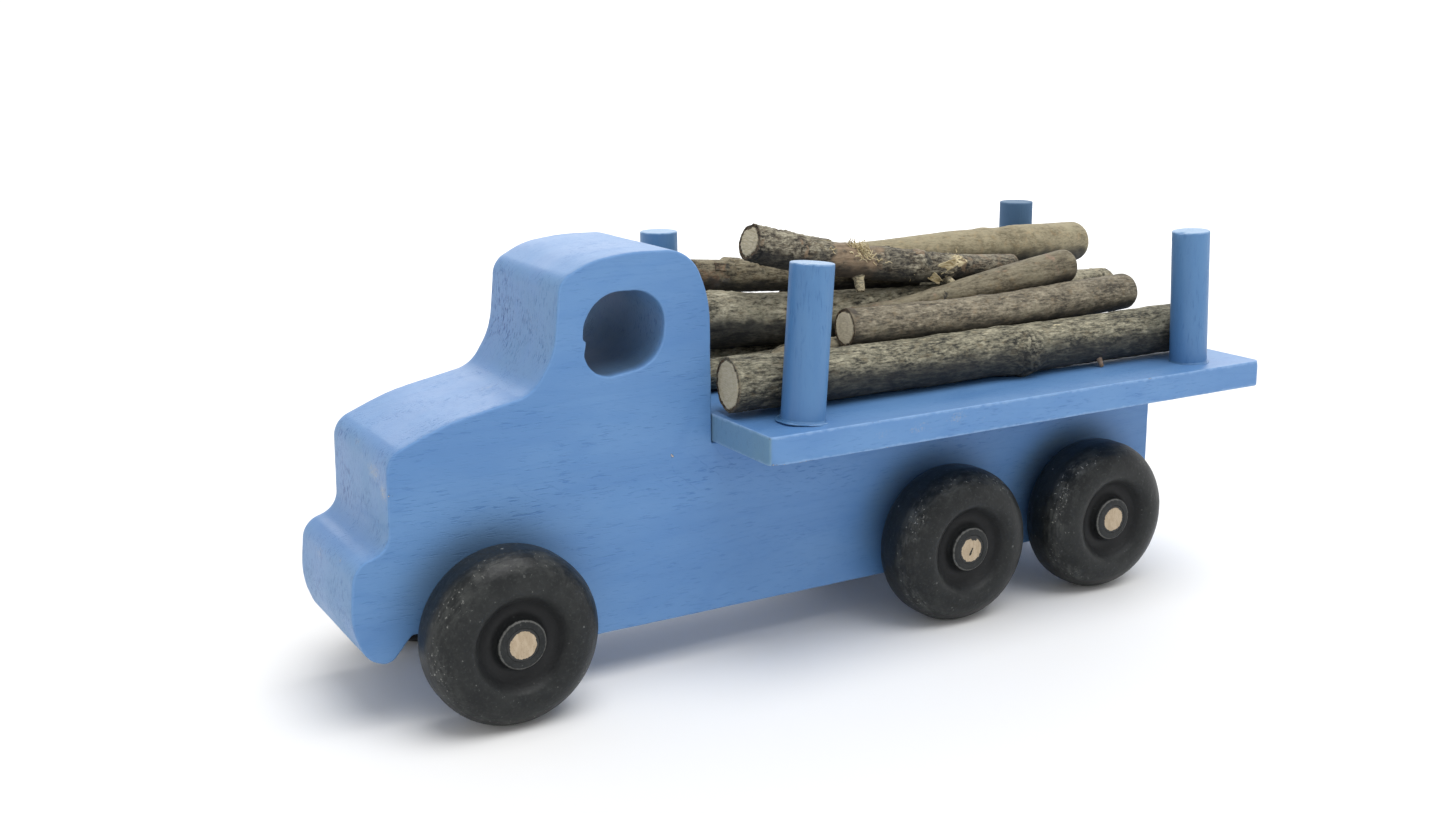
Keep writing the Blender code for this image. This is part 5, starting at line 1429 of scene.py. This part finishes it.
                dict(s=104, a=40, ls=7.0, la=5.0, h=0.12), dict(s=84, a=12, ls=3.5, la=2.5, soot=0.2),
            ]),
        "log_12_top_left": dict(
            look="old", rough=1.0, warty=0.95, furrow=0.5, lumps=1.0, bark_mm=0.95, ends=(0.35, 0.5), warts=60, wart_size=0.7, wart_height=0.3, zones=old_zones, skew=1.0, dirt_and_shade=0.75,
            marks=[
                dict(s=1.2, a=-20, ls=1.8, la=5.0, ruddy=0.40, h=0.25, rough=0.6), dict(s=16.5, a=38, ls=0.9, la=1.8, h=0.6, ruddy=0.8, bast=0.3, rough=0.3), dict(s=18.5, a=12, ls=0.8, la=2.4, h=0.3, ruddy=0.75),
                dict(s=13.5, a=70, ls=1.8, la=2.2, h=0.45, bast=0.45), dict(s=17.5, a=60, ls=1.0, la=1.4, h=0.3, bast=0.42),
                dict(s=9.0, a=20, ls=4.0, la=3.0, lichen=0.5), dict(s=23.0, a=40, ls=4.0, la=3.0, lichen=0.5), dict(s=24.5, a=10, ls=1.6, la=1.6, soot=0.6, pit=0.2),
                dict(s=39.8, a=70, ls=3.2, la=2.8, bast=0.85, pit=0.25), dict(s=36.5, a=85, ls=2.2, la=2.6, h=0.45, lichen=0.55),
                dict(s=50, a=80, ls=4.5, la=2.2, h=0.45, lichen=0.45, soot=0.3), dict(s=54, a=30, ls=4.5, la=4.5, soot=0.45, rough=0.3), dict(s=61.5, a=-8, ls=3.6, la=4.0, h=0.95, rough=1.0, lichen=0.42),
                dict(s=63.5, a=62, ls=2.6, la=2.0, ruddy=0.85, smooth=0.8), dict(s=58, a=-35, ls=3.0, la=3.0, h=0.35, soot=0.7), dict(s=76, a=-22, ls=3.0, la=2.4, h=0.55, bast=0.5, rough=0.5),
                dict(s=64.4, a=50, ls=3.4, la=3.4, h=0.95, rough=1.2, lichen=0.5), dict(s=66.5, a=30, ls=1.6, la=3.0, soot=0.7, pit=0.3),
                dict(s=80.3, a=34, ls=4.2, la=2.8, h=0.55, bast=0.62, rough=1.0), dict(s=82, a=12, ls=1.6, la=2.6, ruddy=0.9), dict(s=72, a=60, ls=3.0, la=2.5, h=0.3, rough=0.5), dict(s=78, a=65, ls=2.4, la=2.4, h=0.35, bast=0.4, rough=0.6),
                dict(s=68, a=200, ls=4.0, la=3.0, h=0.6), dict(s=40, a=190, ls=6.0, la=4.0, bast=0.5),
            ]),
    }

    below, lines = [], {}
    for index, log in enumerate(LOGS):
        name, slant = log[0], log[6]
        line, radii = log_axis(log, 60)
        height = resting_height(line, radii, below)
        below.append((line + [0, 0, height], radii))
        fine, sizes = log_axis(log, 400)
        fine = fine + [0, 0, height]
        if name == "log_09_tapered_left":
            # its torn tip lifts a little and runs 9 mm on, thinning to a point
            fine[:, 2] += 1.9 * np.clip(1 - np.linspace(0, 1, 400) / 0.42, 0, 1) ** 2
            step = fine[0] - fine[1]
            step = step / np.linalg.norm(step)
            more = np.linspace(9.0, 0.4, 20)
            fine = np.concatenate([fine[0] + more[:, None] * step + np.stack([0 * more, 0 * more, 0.010 * more**2], 1), fine])
            sizes = np.concatenate([np.linspace(0.8, 2.2, 20), np.maximum(sizes, np.linspace(2.25, 2.9, 400) * (sizes < 2.9))])
        lines[name] = (fine, sizes)
        recipe = dict(recipes[name])
        look = looks[recipe.pop("look")]
        piece = grow("branch_" + name[4:], fine, sizes, look, 100 + 13 * index, **recipe)
        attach(piece, name + "_body")
        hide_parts(name)

    name = "log_12_top_left"
    fine, sizes = lines[name]
    body = name + "_body"
    old = looks["old"]
    stub("branch_12_stub_under", body, fine, sizes, old, 41.4, -70, 4.2, 1.9, 1.5, lean=(0.12, 0.0), seed=301, lift=-0.45, rough=0.4, paint=dict(bast=0.55))
    stub("branch_12_stub_rear", body, fine, sizes, old, 75.5, -48, 3.6, 1.5, 1.1, lean=(0.5, 0.2), seed=302, lift=-0.3, rough=0.4, paint=dict(bast=0.5))
    fibres("branch_12_bast_fibres", body, fine, sizes, old, [(39.6, 66, 40, 2.7, 1.5), (39.4, 38, 26, 2.6, 1.3), (37.6, 88, 12, 2.0, 1.0), (43.0, 30, 12, 2.6, 1.2), (47.5, 14, 4, 2.6, 0.6), (27.5, 28, 6, 1.9, 0.8), (61.0, -30, 9, 1.8, 1.4), (80.5, 60, 9, 2.0, 1.2)], 311)
    flake("branch_12_flake_top", body, fine, sizes, old, 47.0, 84, 7.0, 3.0, 0.55, 0.25, 321, turn=8, masks={"lichen": 0.45, "tone": 0.55})
    flake("branch_12_flake_brim", body, fine, sizes, old, 22.5, 84, 6.0, 3.0, 0.35, 0.2, 322, turn=-6, masks={"lichen": 0.35, "tone": 0.6})
    flake("branch_12_flake_pale", body, fine, sizes, old, 71.5, -6, 6.2, 3.8, 1.9, 0.7, 323, turn=34, masks={"bast": 1.0, "tone": 0.9})
    flake("branch_12_flake_low", body, fine, sizes, old, 68.2, -26, 4.6, 3.0, 1.5, 0.5, 324, turn=-24, masks={"bast": 0.9, "tone": 0.8})
    flake("branch_12_flake_back", body, fine, sizes, old, 56.0, 165, 6.5, 3.4, 1.0, 0.4, 325, turn=10, masks={"ruddy": 0.5, "tone": 0.5})

    name = "log_10_upper_right"
    fine, sizes = lines[name]
    body = name + "_body"
    stub("branch_10_stub", body, fine, sizes, looks["torn"], 24.6, 56, 1.3, 1.05, 0.85, seed=303, lift=0.5, rough=0.5, paint=dict(soot=0.9))
    flake("branch_10_flake_side", body, fine, sizes, looks["torn"], 7.0, 38, 6.5, 3.0, 0.25, 0.25, 332, turn=-5, masks={"ruddy": 0.5, "tone": 0.3, "inner": 0.3})

    name = "log_01_bottom_left"
    fine, sizes = lines[name]
    body = name + "_body"
    stub("branch_01_spur", body, fine, sizes, looks["rosy"], 141.0, -40, 3.2, 1.25, 0.7, lean=(0.1, -0.5), seed=304, rough=0.5, paint=dict(ruddy=0.8))

    name = "log_06_second_left"
    fine, sizes = lines[name]
    flake("branch_06_torn_rim", name + "_body", fine, sizes, looks["mottled"], 0.4, 72, 3.0, 3.2, 0.25, 0.2, 341, turn=20, masks={"ruddy": 0.7, "tone": 0.3, "soot": 0.3})


# ------------------------------------------------------------------ studio
SKY = 0.50
OVERHEAD = 2.15
REAR_PANEL = 11.5


def studio():
    size = 14.0
    count = 24
    data = bpy.data.meshes.new("studio_floor")
    spots = [(size * (2 * i / count - 1), size * (2 * j / count - 1), 0.0) for i in range(count + 1) for j in range(count + 1)]
    faces = [(i * (count + 1) + j, (i + 1) * (count + 1) + j, (i + 1) * (count + 1) + j + 1, i * (count + 1) + j + 1) for i in range(count) for j in range(count)]
    data.from_pydata(spots, [], faces)
    look = Look("studio_floor_white", specular_ior_level=0.2)
    tint = look.noise(look.place, 3.0, 2.0)
    data.materials.append(look.finish(look.mix(tint, rgb(0.845, 0.845, 0.845), rgb(0.86, 0.86, 0.86)), 0.9))
    floor = bpy.data.objects.new("studio_floor", data)
    bpy.context.scene.collection.objects.link(floor)

    # a white sky, brightest low down where it meets the floor, dimmer from 25 degrees up
    world = bpy.data.worlds.new("studio_world")
    world.use_nodes = True
    tree = world.node_tree
    background = next(n for n in tree.nodes if n.type == "BACKGROUND")
    background.inputs["Color"].default_value = (1.0, 1.0, 1.0, 1)
    way = tree.nodes.new("ShaderNodeTexCoord")
    part = tree.nodes.new("ShaderNodeSeparateXYZ")
    rise = tree.nodes.new("ShaderNodeMapRange")
    rise.interpolation_type = "SMOOTHSTEP"
    for socket, value in (("From Min", 0.30), ("From Max", 0.62), ("To Min", 1.08), ("To Max", SKY)):
        rise.inputs[socket].default_value = value
    tree.links.new(way.outputs["Generated"], part.inputs[0])
    tree.links.new(part.outputs["Z"], rise.inputs["Value"])
    tree.links.new(rise.outputs[0], background.inputs["Strength"])
    bpy.context.scene.world = world

    lamp = bpy.data.lights.new("overhead_soft_light", "SUN")
    lamp.energy = OVERHEAD
    lamp.angle = math.radians(50)
    obj = bpy.data.objects.new("overhead_soft_light", lamp)
    obj.location = (0, 0, 1)
    obj.rotation_mode = "QUATERNION"
    obj.rotation_quaternion = Vector((-0.26, -0.15, -1)).to_track_quat("-Z", "Y")
    bpy.context.scene.collection.objects.link(obj)

    panel = bpy.data.lights.new("rear_softbox", "AREA")
    panel.shape = "RECTANGLE"
    panel.size, panel.size_y = 2.2, 0.9
    panel.energy = REAR_PANEL
    obj = bpy.data.objects.new("rear_softbox", panel)
    obj.location = (-1.30, 0.80, 0.85)
    obj.rotation_mode = "QUATERNION"
    obj.rotation_quaternion = Vector((1.30, -0.80, -0.78)).to_track_quat("-Z", "Y")
    bpy.context.scene.collection.objects.link(obj)


def camera():
    """The viewing angle: 60.15 degrees round from the front, 13.66 down, rolled half a degree."""
    turn, tilt, roll = math.radians(60.15), math.radians(13.66), math.radians(-0.51)
    back = Vector((math.sin(turn) * math.cos(tilt), -math.cos(turn) * math.cos(tilt), math.sin(tilt)))
    right = Vector((math.cos(turn), math.sin(turn), 0))
    up = back.cross(right)
    right, up = right * math.cos(roll) + up * math.sin(roll), up * math.cos(roll) - right * math.sin(roll)
    data = bpy.data.cameras.new("camera")
    data.sensor_width = 36.0
    data.sensor_fit = "HORIZONTAL"
    data.lens = 1582.43 * 36.0 / 1445
    data.clip_start, data.clip_end = 0.01, 50.0
    obj = bpy.data.objects.new("camera", data)
    matrix = Matrix((right, up, back)).transposed().to_4x4()
    matrix.translation = Vector((0.42266, -0.26666, 0.18992))
    obj.matrix_world = matrix
    bpy.context.scene.collection.objects.link(obj)
    bpy.context.scene.camera = obj


camera()
studio()
board()
deck()
stakes()
wheels_and_axles()
load()

bpy.context.scene.view_settings.view_transform = "Standard"
bpy.context.scene.view_settings.look = "None"
